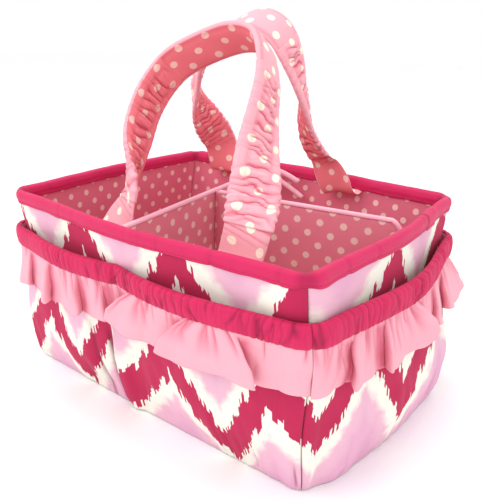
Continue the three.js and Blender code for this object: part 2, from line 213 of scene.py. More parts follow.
@dataclass(frozen=True)
class DottedCotton(PlainCotton):
    """Cotton printed with round dots in two square grids, each in the gaps of the other."""

    dot: str = "#ffe9da"
    dot_size: float = 5.6
    pitch_along: float = 20.0
    pitch_across: float = 20.0

    def colouring(self, tree: Tree, place: Socket) -> Socket:
        """Prints the dots over the dyed ground, with an edge 0.5 mm soft.

        Args:
            tree: the material's tree.
            place: places on the cloth, in millimetres.

        Returns:
            The colour.
        """
        ground = super().colouring(tree, place)
        pitch = (self.pitch_along, self.pitch_across, 1.0)
        flat = add_node(tree, VECTORS, "MULTIPLY", {0: place, 1: (1.0, 1.0, 0.0)})
        cell = add_node(tree, VECTORS, "DIVIDE", {0: flat, 1: pitch})
        away = []
        for shift in (0.0, 0.5):
            moved = add_node(tree, VECTORS, "ADD", {0: cell, 1: (shift, shift, 0.5)})
            part = add_node(tree, VECTORS, "FRACTION", {0: moved})
            middle = add_node(tree, VECTORS, "SUBTRACT", {0: part, 1: (0.5, 0.5, 0.5)})
            sized = add_node(tree, VECTORS, "MULTIPLY", {0: middle, 1: pitch})
            away.append(add_node(tree, VECTORS, "LENGTH", {0: sized}).outputs["Value"])
        nearest = add_node(tree, MATHS, "MINIMUM", {0: away[0], 1: away[1]})
        radius, soft = self.dot_size / 2, 0.25
        edge = {"Value": nearest, "From Min": radius + soft, "From Max": radius - soft}
        ink = add_node(tree, "ShaderNodeMapRange", None, edge)
        return add_node(tree, MIX, COLOURS, {0: ink, 6: ground, 7: linear(self.dot)}).outputs[2]


@dataclass(frozen=True)
class ZigzagCanvas(PlainCotton):
    """Cotton canvas printed in the manner of ikat: zigzag bars whose edges run into upright streaks, with a
    cream edge and soft pink clouds between them. On its map, a bar's lower edge has its peaks at whole
    periods across and its troughs at height 0."""

    cream: str = "#f1eee2"
    cloud: str = "#e6b4c8"
    cloud_core: str = "#dca0c2"
    period: float = PRINT_PERIOD
    rise: float = 70.0
    bar: float = 37.0
    # Width and reach of the fine streaks in a bar's edge, and of the tufts that they stand in
    streaks: tuple = ((1.7, 9.0), (5.3, 10.0))
    # How far from the bars the clouds and their cores begin and are full, and how strong they are
    cloud_edge: tuple = (27.0, 42.0, 1.0)
    core_edge: tuple = (44.0, 70.0, 0.6)
    cloud_wander: float = 26.0

    def ragged(self, tree: Tree, across: Socket, seed: float) -> bpy.types.Node:
        """Works out how far each upright streak of an edge runs out.

        Args:
            tree: the material's tree.
            across: place along the cloth.
            seed: keeps one edge's streaks unlike another's.

        Returns:
            The distance, in millimetres.
        """
        total = -sum(reach for _, reach in self.streaks) / 2
        for width, reach in self.streaks:
            column = add_node(tree, MATHS, "DIVIDE", {0: across, 1: width})
            whole = add_node(tree, MATHS, "FLOOR", {0: column})
            number = add_node(tree, MATHS, "ADD", {0: whole, 1: seed})
            chance = add_node(tree, "ShaderNodeTexWhiteNoise", {"noise_dimensions": "1D"}, {"W": number})
            total = add_node(tree, MATHS, "MULTIPLY_ADD", {0: chance, 1: reach, 2: total})
        return total

    def colouring(self, tree: Tree, place: Socket) -> Socket:
        """Prints the bars and the clouds.

        Args:
            tree: the material's tree.
            place: places on the cloth, in millimetres.

        Returns:
            The colour.
        """
        ground = super().colouring(tree, place)
        across, up = add_node(tree, "ShaderNodeSeparateXYZ", None, {0: place}).outputs[:2]
        turns = add_node(tree, MATHS, "DIVIDE", {0: across, 1: self.period})
        share = add_node(tree, MATHS, "FRACT", {0: turns})
        centred = add_node(tree, MATHS, "SUBTRACT", {0: share, 1: 0.5})
        size = add_node(tree, MATHS, "ABSOLUTE", {0: centred})
        zigzag = add_node(tree, MATHS, "MULTIPLY", {0: size, 1: 2 * self.rise})
        above = add_node(tree, MATHS, "SUBTRACT", {0: up, 1: zigzag})
        past_bar = add_node(tree, MATHS, "SUBTRACT", {0: above, 1: self.bar})
        low, high = (self.ragged(tree, across, seed) for seed in (3.0, 517.0))
        under_edge = add_node(tree, MATHS, "SUBTRACT", {0: low, 1: above})
        over_edge = add_node(tree, MATHS, "ADD", {0: past_bar, 1: high})
        outside = add_node(tree, MATHS, "MAXIMUM", {0: under_edge, 1: over_edge})
        edge = {"Value": outside, "From Min": -0.4, "From Max": 0.4}
        bare = add_node(tree, "ShaderNodeMapRange", None, edge)
        below = add_node(tree, MATHS, "MULTIPLY", {0: above, 1: -1.0})
        away = add_node(tree, MATHS, "MAXIMUM", {0: below, 1: past_bar})
        noise = add_node(tree, NOISE, None, {"Vector": place, "Scale": 0.09, "Detail": 3.0})
        wander = {0: noise, 1: self.cloud_wander, 2: away}
        wandered = add_node(tree, MATHS, "MULTIPLY_ADD", wander)
        cloudy, deep = (
            add_node(
                tree, "ShaderNodeMapRange", {"interpolation_type": "SMOOTHSTEP"},
                {"Value": wandered, "From Min": start, "From Max": full, "To Max": strength},
            )
            for start, full, strength in (self.cloud_edge, self.core_edge)
        )
        pinks = {0: deep, 6: linear(self.cloud), 7: linear(self.cloud_core)}
        cloud = add_node(tree, MIX, COLOURS, pinks).outputs[2]
        between = add_node(tree, MIX, COLOURS, {0: cloudy, 6: linear(self.cream), 7: cloud}).outputs[2]
        return add_node(tree, MIX, COLOURS, {0: bare, 6: ground, 7: between}).outputs[2]


@dataclass(frozen=True)
class GreyBoard(PlainCotton):
    """Pressed board or wadding: matt fibre with flecks about 1 mm long and no weave."""

    on_cloth_map: bool = False

    def height(self, tree: Tree, place: Socket) -> Socket:
        """Returns the fibre's relief at places in millimetres."""
        return add_node(tree, NOISE, None, {"Vector": place, "Scale": 1.0, "Detail": 4.0}).outputs["Fac"]


class Finish(Enum):
    """The cloths and other materials that the caddy is made of."""

    # Printed canvas, stiff and matt: its 0.4 mm threads give only a faint grain
    # Its crease colour is painted shade, for the pockets' folds and the pleat's shadow lines
    PRINT = ZigzagCanvas("printed_canvas", "#c32856", "#b01f4b", relief=0.25, crease="#7c1636")
    # Quilting cotton with dots 5 to 6 mm wide. The dividers' cover is the same cloth painted lighter than the
    # walls' lining: painted light, as the dividers stand in more light than the lining deep in the box
    LINING = DottedCotton("dotted_lining", "#e67b91", "#da6f86", dot="#f3cdc4", dot_size=5.6)
    DIVIDER = DottedCotton("dotted_divider_cover", "#ee8ea0", "#e38293", dot="#f5d6cb", dot_size=5.9)
    # Tape and casing of sateen-like cotton: smoother than the rest, so their ridges catch the light
    # The crease colours of the tape and the casing are painted shade, for their tucks, corners and ruching
    BINDING = PlainCotton("binding_tape", "#d42460", "#ca1d57", roughness=0.55, crease="#a81546")
    CASING = PlainCotton("ruched_casing", "#d8255f", "#ca1d56", roughness=0.65, crease="#9c1341")
    # Thin plain cotton, which lets light through its folds: the painted shade in its creases is warm and not
    # grey
    FRILL = PlainCotton("frill_cotton", "#f3b0be", "#efa7b6", crease="#d9637f")
    EDGING = PlainCotton("edging_tape", "#f6bccb", "#f0aebf")
    # The straps' two cloths: light with cream dots outside, darker with faint dots on the inner face
    # The straps' crease colours are painted shade, for their ruching and stitched grooves
    STRAP = DottedCotton(
        "dotted_strap", "#f4b3bd", "#efa7b3", dot="#fbf2dc", dot_size=6.4, pitch_along=24.5,
        pitch_across=22.0, crease="#d4546e",
    )
    STRAP_BACK = DottedCotton(
        "dotted_strap_back", "#f6868f", "#ee7a85", dot="#f9d3c8", dot_size=6.4, pitch_along=24.5,
        pitch_across=22.0, crease="#c23f56",
    )
    CANVAS = PlainCotton("base_canvas", "#cfc9c6", "#c3bdba")
    # Twisted sewing thread, 0.6 mm thick, whose twist is drawn at 0.5 mm
    THREAD = PlainCotton("sewing_thread", "#eda0b3", "#e694a8", on_cloth_map=False, thread=0.5)
    DEEP_THREAD = PlainCotton("deep_sewing_thread", "#c81f58", "#bc1a50", on_cloth_map=False, thread=0.5)
    # What the cloth covers: pressed board, woven elastic and soft wadding
    BOARD = GreyBoard("grey_board", "#cdb9a0", "#bca88f", roughness=0.9, sheen=0.0)
    ELASTIC = PlainCotton("woven_elastic", "#f3efe8", "#e6e0d6", on_cloth_map=False)
    WADDING = GreyBoard("polyester_wadding", "#f5f2ec", "#ebe7df", roughness=0.95)


class Palette:
    """The materials, each made once."""

    def __init__(self) -> None:
        """Builds every finish."""
        self.made = {finish: finish.value.build() for finish in Finish}

    def __getitem__(self, finish: Finish) -> bpy.types.Material:
        """Returns a finish's material."""
        return self.made[finish]


# Cloth shapes


def crumple(across: Array, up: Array, seed: int, size: float, count: int = 9) -> Array:
    """A smooth uneven relief, as of creased cloth.

    Args:
        across: place along the cloth.
        up: place up the cloth.
        seed: picks one relief.
        size: usual distance between ridges.
        count: number of waves that add up.

    Returns:
        Heights of about -1 to 1.
    """
    rng = np.random.default_rng(seed)
    total = np.zeros(np.broadcast(across, up).shape)
    for _ in range(count):
        heading = rng.uniform(0, np.pi)
        length = size * rng.uniform(0.7, 1.8)
        total += np.sin(
            2 * np.pi * (across * np.cos(heading) + up * np.sin(heading)) / length + rng.uniform(0, 2 * np.pi)
        )
    return total / math.sqrt(count) / 1.4


def gathers(across: Array, pitch: float, seed: int, spread: float = 0.45) -> Array:
    """Ridges of uneven width and height with sharp valleys between them, as of gathered cloth.

    Args:
        across: place along the gathered edge.
        pitch: mean width of a ridge.
        seed: picks one set of ridges.
        spread: how uneven the widths are.

    Returns:
        Heights from 0 in the valleys to 1.
    """
    rng = np.random.default_rng(seed)
    reach = float(across.max() - across.min())
    count = int(reach / pitch * 1.5) + 12
    edges = across.min() - 2 * pitch + np.cumsum(rng.uniform(1 - spread, 1 + spread, count) * pitch)
    number = np.interp(across, edges, np.arange(count))
    heights = rng.uniform(0.55, 1, count + 1)[number.astype(int)]
    return heights * np.abs(np.sin(np.pi * number))


def pinches(
    across: Array, down: Array, pitch: float, seed: int, width: float = 1.1, reach: float = 0.5
) -> Array:
    """Sharp creases that start at a gathered edge and die out down the cloth.

    Args:
        across: place along the gathered edge.
        down: way down from that edge, from 0 to 1.
        pitch: mean distance between creases.
        seed: picks one set of creases.
        width: half width of a crease.
        reach: how far down a usual crease runs.

    Returns:
        Depths from 0 to about 1.
    """
    rng = np.random.default_rng(seed)
    low, high = float(across.min()), float(across.max())
    total = np.zeros(np.broadcast(across, down).shape)
    for _ in range(int((high - low) / pitch)):
        middle, slant = rng.uniform(low, high), rng.normal(0, 4)
        end, deep, wide = reach * rng.uniform(0.5, 1.6), rng.uniform(0.45, 1), width * rng.uniform(0.7, 1.7)
        bend = rng.normal(0, 3)
        line = middle + slant * down + bend * down**2
        shape = np.exp(-(((across - line) / (wide * (1 + down))) ** 2))
        total = np.maximum(total, deep * shape * (1 - rise(down, 0.25 * end, end)))
    return total


def rise(value: Array, low: float, high: float) -> Array:
    """Returns a smooth step of value from 0 at low to 1 at high."""
    share = np.clip((value - low) / (high - low), 0, 1)
    return share * share * (3 - 2 * share)


def bell(value: Array, width: float) -> Array:
    """Returns a bump that is 1 where value is 0 and dies out about two widths away."""
    return np.exp(-((value / width) ** 2))


def run_along(line: Array) -> Array:
    """Returns the way along a line of points to each of them."""
    return np.concatenate([[0], np.cumsum(np.linalg.norm(np.diff(line, axis=0), axis=1))])


def flat_map(across: Array, up: Array) -> Array:
    """Returns the grid of places on the flat cloth, rows by columns by 2."""
    return np.stack(np.broadcast_arrays(across, up), -1)


def rounded_end(distance: Array, radius: float) -> Array:
    """Returns the share of the full thickness at a distance from a rounded end."""
    return np.sqrt(np.clip(1 - (1 - np.clip(distance / radius, 0, 1)) ** 2, 0, 1))


def put_in_scene(name: str, data: bpy.types.ID) -> Piece:
    """Returns a new object with that data, linked to the scene."""
    made = bpy.data.objects.new(name, data)
    bpy.context.scene.collection.objects.link(made)
    return made


def dress(piece: Piece, body: str, slot: str, *nodes: str) -> Piece:
    """Says what a piece belongs to.

    Args:
        piece: the piece.
        body: the body that it rides on.
        slot: not used.
        nodes: the solids that it stands for.

    Returns:
        The piece.
    """
    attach(piece, body)
    if nodes:
        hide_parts(*nodes)
    LOG.info("%s: %d faces", piece.name, len(piece.data.polygons))
    return piece


def cloth_piece(
    name: str, points: Array, cloth: Array, materials: list[bpy.types.Material], thickness: float,
    around: bool = False, second: Array | None = None, shade_depth: Array | None = None,
) -> Piece:
    """Makes a piece of cloth from a grid of points.

    Args:
        name: the piece's name.
        points: rows by columns by 3, in millimetres; rows go up where columns go right, seen from outside.
        cloth: the same grid on the flat cloth, with one more column where around is set.
        materials: the cloth's material, and a second one for the columns that second names.
        thickness: cloth thickness, added behind the points.
        around: joins the last column to the first.
        second: True for each column of faces that takes the second material.
        shade_depth: how much painted shade each point takes in the creases, from 0 to 1.

    Returns:
        The new object.
    """
    rows, columns = points.shape[:2]
    spans = columns if around else columns - 1
    row, column = np.meshgrid(np.arange(rows - 1), np.arange(spans), indexing="ij")
    after = (column + 1) % columns
    low, high = row * columns, (row + 1) * columns
    corners = np.stack([low + column, low + after, high + after, high + column], -1).reshape(-1, 4)
    mesh = bpy.data.meshes.new(name)
    mesh.from_pydata((points.reshape(-1, 3) * MM).tolist(), [], corners.tolist())
    flat = np.stack(
        [cloth[row, column], cloth[row, column + 1], cloth[row + 1, column + 1], cloth[row + 1, column]], 2
    ).reshape(-1, 2)
    layer = mesh.uv_layers.new(name=CLOTH_UV)
    layer.data.foreach_set("uv", (flat * MM).astype(np.float32).ravel())
    mesh.polygons.foreach_set("use_smooth", np.ones(len(mesh.polygons), bool))
    for material in materials:
        mesh.materials.append(material)
    if second is not None:
        mesh.polygons.foreach_set("material_index", second[column].astype(np.int32).ravel())
    if shade_depth is not None:
        depth = np.clip(np.broadcast_to(shade_depth, (rows, columns)), 0, 1).astype(np.float32)
        mesh.attributes.new(SHADE_DEPTH, "FLOAT", "POINT").data.foreach_set("value", depth.ravel())
    mesh.update()
    piece = put_in_scene(name, mesh)
    if thickness:
        wall = piece.modifiers.new("thickness", "SOLIDIFY")
        wall.thickness = thickness * MM
        wall.offset = -1
    return piece


@dataclass
class Stitching:
    """Rows of sewing stitches, one mesh for each body."""

    palette: Palette
    pitch: float = 3.4
    length: float = 2.5
    radius: float = 0.32
    rows: dict = field(default_factory=dict)

    def sew(self, body: str, line: Array, thread: Finish = Finish.THREAD) -> None:
        """Adds a row of stitches along a line of points on a body."""
        self.rows.setdefault((body, thread), []).append(np.asarray(line))

    def tree(self) -> tuple[Tree, dict[str, str]]:
        """Makes the tree that lays a stitch at each step of a line.

        Returns:
            The tree, and the socket identifier of each named size.
        """
        tree = bpy.data.node_groups.new("stitch_rows", "GeometryNodeTree")
        tree.interface.new_socket("Lines", in_out="INPUT", socket_type="NodeSocketGeometry")
        sizes = {
            name: tree.interface.new_socket(name, in_out="INPUT", socket_type="NodeSocketFloat").identifier
            for name in ("Pitch", "Length", "Radius")
        }
        sizes["Thread"] = tree.interface.new_socket(
            "Thread", in_out="INPUT", socket_type="NodeSocketMaterial"
        ).identifier
        tree.interface.new_socket("Stitches", in_out="OUTPUT", socket_type="NodeSocketGeometry")
        given = add_node(tree, "NodeGroupInput")
        curve = add_node(tree, "GeometryNodeMeshToCurve", None, {"Mesh": given})
        steps = add_node(
            tree, "GeometryNodeCurveToPoints", {"mode": "LENGTH"},
            {"Curve": curve, "Length": given.outputs["Pitch"]},
        )
        half = add_node(tree, MATHS, "MULTIPLY", {0: given.outputs["Length"], 1: 0.5})
        radius = given.outputs["Radius"]
        size = add_node(tree, "ShaderNodeCombineXYZ", None, {0: radius, 1: radius, 2: half})
        ball = add_node(tree, "GeometryNodeMeshUVSphere", None, {"Segments": 6, "Rings": 5, "Radius": 1.0})
        laid = add_node(
            tree, "GeometryNodeInstanceOnPoints", None,
            {"Points": steps, "Instance": ball, "Rotation": steps.outputs["Rotation"], "Scale": size},
        )
        real = add_node(tree, "GeometryNodeRealizeInstances", None, {"Geometry": laid})
        smooth = add_node(tree, "GeometryNodeSetShadeSmooth", None, {"Geometry": real})
        thread = given.outputs["Thread"]
        painted = add_node(tree, "GeometryNodeSetMaterial", None, {"Geometry": smooth, "Material": thread})
        add_node(tree, "NodeGroupOutput", None, {0: painted})
        return tree, sizes

    def build(self) -> None:
        """Makes one mesh of stitches for each body and thread."""
        tree, sizes = self.tree()
        for (body, thread), rows in self.rows.items():
            name = f"{body}_stitches" if thread is Finish.THREAD else f"{body}_deep_stitches"
            starts = np.cumsum([0] + [len(r) for r in rows])
            edges = [(i, i + 1) for s, e in zip(starts[:-1], starts[1:]) for i in range(s, e - 1)]
            mesh = bpy.data.meshes.new(f"{name}_lines")
            mesh.from_pydata((np.concatenate(rows) * MM).tolist(), edges, [])
            lines = put_in_scene(f"{name}_lines", mesh)
            modifier = lines.modifiers.new("stitches", "NODES")
            modifier.node_group = tree
            for size, value in (("Pitch", self.pitch), ("Length", self.length), ("Radius", self.radius)):
                modifier[sizes[size]] = value * MM
            modifier[sizes["Thread"]] = self.palette[thread]
            bpy.context.view_layer.update()
            depsgraph = bpy.context.evaluated_depsgraph_get()
            made = bpy.data.meshes.new_from_object(lines.evaluated_get(depsgraph))
            made.name = name
            stitches = put_in_scene(name, made)
            bpy.data.objects.remove(lines)
            dress(stitches, body, "binding_tape" if body == "caddy_body" else "strap_cloth")


# The box


class Wall(Enum):
    """A wall, with the turn that takes the front wall to it."""

    FRONT = ("front", 0)
    RIGHT = ("right", 90)
    BACK = ("back", 180)
    LEFT = ("left", 270)

    @property
    def label(self) -> str:
        """Returns the wall's name."""
        return self.value[0]

    @property
    def degrees(self) -> int:
        """Returns the wall's turn about the upright axis, in degrees."""
        return self.value[1]

    @property
    def turn(self) -> float:
        """Returns the wall's turn about the upright axis, in radians."""
        return math.radians(self.degrees)

    @property
    def is_long(self) -> bool:
        """Returns True for the two long walls."""
        return self.degrees % 180 == 0


@dataclass(frozen=True)
class Columns:
    """Upright lines on a wall: arc is -1 to 1 from corner seam to corner seam through the rounded parts,
    and run -1 to 1 along the straight stretch."""

    arc: Array
    run: Array

    def without_last(self) -> "Columns":
        """Returns the columns but the last."""
        return Columns(self.arc[:-1], self.run[:-1])

    def from_seam(self, corner_run: float = 20) -> Array:
        """Returns each column's distance from the nearer corner seam, round a corner of that run."""
        return (1 - np.abs(self.arc)) * corner_run

    def past_seam(self, share: float) -> Array:
        """Returns 0 at the corner seams, rising to 1 at a share of the rounded part."""
        return rise(1 - np.abs(self.arc), 0, share)


@dataclass(frozen=True)
class Outline:
    """Half sizes of the box, or of the pockets round it, at each height."""

    length: Array
    width: Array
    corner: Array
    long_bow: Array
    end_bow: Array
    stand: Array


@dataclass(frozen=True)
class BoxForm:
    """The shape of the box and of the pockets that stand off it."""

    rim_length: float = 300
    rim_width: float = 248
    base_length: float = 304
    base_width: float = 190
    height: float = 180
    rim_corner: float = 17
    base_corner: float = 40
    long_bow_at_rim: float = 9
    long_bow_at_base: float = 2
    end_bow_at_rim: float = 7
    end_bow_at_base: float = 4
    wall_thickness: float = 5
    band_drop: float = 33
    band_depth: float = 17
    division: float = -10
    # How far the pockets stand out between their seams, and the share of the height where that begins
    lobe: float = 8.5
    end_lobe: float = 8
    lobe_start: float = 0.3
    # How far the pockets stand off the box at some shares of their height, and how tight their corners are:
    # tightest at the bottom seam, where the cloth stands out as a point
    stand_shares: tuple = (0, 0.08, 0.34, 0.68, 1)
    stands: tuple = (LAYER_GAP, 3.5, 6.5, 5, 2.3)
    tightness: tuple = (0.2, 0.26, 0.42, 0.7, 0.84)
    # The real base is a little askew: two opposite corners of the pockets stand out past the rim's, and the
    # other two are cut off. Each push fades in over a span along the box and one across it
    askew: float = 13
    askew_along: tuple = (10, 150)
    askew_across: tuple = (-80, 100)
    cut_off: float = 11
    cut_along: tuple = (60, 150)
    cut_across: tuple = (62, 95)
    askew_below: float = 128
    askew_fade: float = 90

    @property
    def band_top(self) -> float:
        """Returns the height of the pockets' mouths."""
        return self.height - self.band_drop

    @property
    def band_bottom(self) -> float:
        """Returns the height of the band's lower edge."""
        return self.band_top - self.band_depth

    def box_at(self, z: Array) -> Outline:
        """Works out the box's outline.

        Args:
            z: heights.

        Returns:
            The outline at each height.
        """
        share = np.asarray(z, float) / self.height

        def between(base: float, rim: float) -> Array:
            """Returns a size between its values at the base and at the rim."""
            return base + (rim - base) * share

        return Outline(
            between(self.base_length, self.rim_length) / 2,
            between(self.base_width, self.rim_width) / 2,
            between(self.base_corner, self.rim_corner),
            between(self.long_bow_at_base, self.long_bow_at_rim),
            between(self.end_bow_at_base, self.end_bow_at_rim),
            np.zeros_like(share),
        )

    def pocket_at(self, z: Array) -> Outline:
        """Works out the outline that the pockets' cloth follows.

        Args:
            z: heights.

        Returns:
            The outline at each height.
        """
        box = self.box_at(z)
        share = np.asarray(z, float) / self.band_top
        stand = np.interp(share, self.stand_shares, self.stands)
        corner = (box.corner + stand) * np.interp(share, self.stand_shares, self.tightness)
        return Outline(box.length + stand, box.width + stand, corner, box.long_bow, box.end_bow, stand)

    def racked(self, points: Array) -> Array:
        """Moves points of the pockets or the bottom as the real base is askew.

        Args:
            points: the points.

        Returns:
            The points, pushed out at two opposite corners and in at the other two.
        """
        x, y, z = points[..., 0], points[..., 1], points[..., 2]
        near = rise(-x, *self.askew_along) * rise(-y, *self.askew_across)
        far = rise(x, *self.askew_along) * rise(y, *self.askew_across)
        right = rise(x, *self.cut_along) * rise(-y, *self.cut_across)
        left = rise(-x, *self.cut_along) * rise(y, *self.cut_across)
        push = self.askew * (far - near) - self.cut_off * (right - left)
        moved = points.copy()
        moved[..., 0] += rise(self.askew_below - z, 0, self.askew_fade) * push
        return moved

    def columns(self, wall: Wall, spacing: float) -> Columns:
        """Divides a wall into columns.

        Args:
            wall: the wall.
            spacing: about how far apart the columns are.

        Returns:
            The columns from one corner seam to the other.
        """
        outline = self.box_at(self.height / 2)
        straight = (outline.length if wall.is_long else outline.width) - outline.corner
        arcs = max(5, round(float(outline.corner) * math.pi / 4 / spacing))
        runs = round(2 * float(straight) / spacing)
        corner = np.linspace(0, 1, arcs + 1)[1:]
        arc = np.concatenate([-corner[::-1], np.zeros(runs + 1), corner])
        run = np.concatenate([-np.ones(arcs), np.linspace(-1, 1, runs + 1), np.ones(arcs)])
        return Columns(arc, run)

    def along(self, wall: Wall, columns: Columns, outline: Outline) -> Array:
        """Returns each column's place along the wall from its middle."""
        half = (outline.length if wall.is_long else outline.width) - outline.corner
        return columns.run * half + columns.arc * outline.corner * math.pi / 4

    def place(
        self,
        wall: Wall,
        columns: Columns,
        outline: Outline,
        offset: Array | float,
        z: Array,
        sideways: Array | float = 0.0,
        gap: float = SEAM_GAP,
    ) -> Array:
        """Places points on a wall.

        Args:
            wall: the wall.
            columns: the columns, one for each column of points.
            outline: the outline at each height, shaped to rows by 1.
            offset: distance out from the outline.
            z: heights, shaped to rows by 1 or rows by columns.
            sideways: distance along the wall from the column.
            gap: gap left at the corner seams.

        Returns:
            Rows by columns by 3 points.
        """
        size = outline.length if wall.is_long else outline.width
        across = outline.width if wall.is_long else outline.length
        bow = (outline.long_bow if wall.is_long else outline.end_bow) * (1 + np.cos(np.pi * columns.run)) / 2
        radius = outline.corner + offset
        angle = columns.arc * (np.pi / 4 - gap / 2 / radius)
        t = columns.run * (size - outline.corner) + radius * np.sin(angle) + sideways * np.cos(angle)
        n = across - outline.corner + radius * np.cos(angle) + bow - sideways * np.sin(angle)
        x = t * math.cos(wall.turn) + n * math.sin(wall.turn)
        y = t * math.sin(wall.turn) - n * math.cos(wall.turn)
        x, y, z = np.broadcast_arrays(x, y, z)
        return np.stack([x, y, z], -1)

    def swell(self, wall: Wall, columns: Columns, z: Array) -> Array:
        """Works out how a pocket stands out between the seams that hold it.

        Args:
            wall: the wall.
            columns: the columns.
            z: heights, rows by 1.

        Returns:
            The distance out from the pocket's outline. A long wall's pocket is sewn down at the division.
        """
        share_at = 1.0
        if wall.is_long:
            mouth = self.pocket_at(self.band_top)
            share_at = self.division / (float(mouth.length) - float(mouth.corner))
        before = columns.run <= share_at
        after = (columns.run - share_at) / max(1 - share_at, 1e-9)
        share = np.where(before, (columns.run + 1) / (share_at + 1), after)
        lobe = self.lobe if wall.is_long else self.end_lobe
        out = lobe * np.sin(np.pi * share) * rise(z / self.band_top, 0, self.lobe_start)
        if not wall.is_long:
            return out
        near = np.where(before, share, 1 - share)
        return out - (self.pocket_at(z).stand - LAYER_GAP) * near

    def clear_half_width(self, z: float, x: float) -> float:
        """Works out the clear width between the long walls' linings.

        Args:
            z: height.
            x: place along the box.

        Returns:
            Half the clear width there.
        """
        box = self.box_at(z)
        run = min(1.0, max(-1.0, x / float(box.length - box.corner)))
        bow = float(box.long_bow) * (1 + math.cos(math.pi * run)) / 2
        return float(box.width) - self.wall_thickness + bow


@dataclass(frozen=True)
class PrintPlace:
    """Where the zigzag print lies on the cloth of the walls.

    The turns are places along a long or a short wall with the print's turn there: whole where a bar has its
    peak and half where it has its trough. The feet are the heights of the troughs."""

    long_turns: tuple
    end_turns: tuple
    long_foot: float
    end_foot: float

    def on_cloth(self, wall: Wall, t: Array, z: Array) -> Array:
        """Lays a wall's cloth flat under the print.

        Args:
            wall: the wall.
            t: places along it.
            z: heights.

        Returns:
            The places on the flat cloth.
        """
        turns = np.array(self.long_turns if wall.is_long else self.end_turns)
        foot = self.long_foot if wall.is_long else self.end_foot
        return flat_map(np.interp(t, turns[:, 0], turns[:, 1]) * PRINT_PERIOD, z - foot)


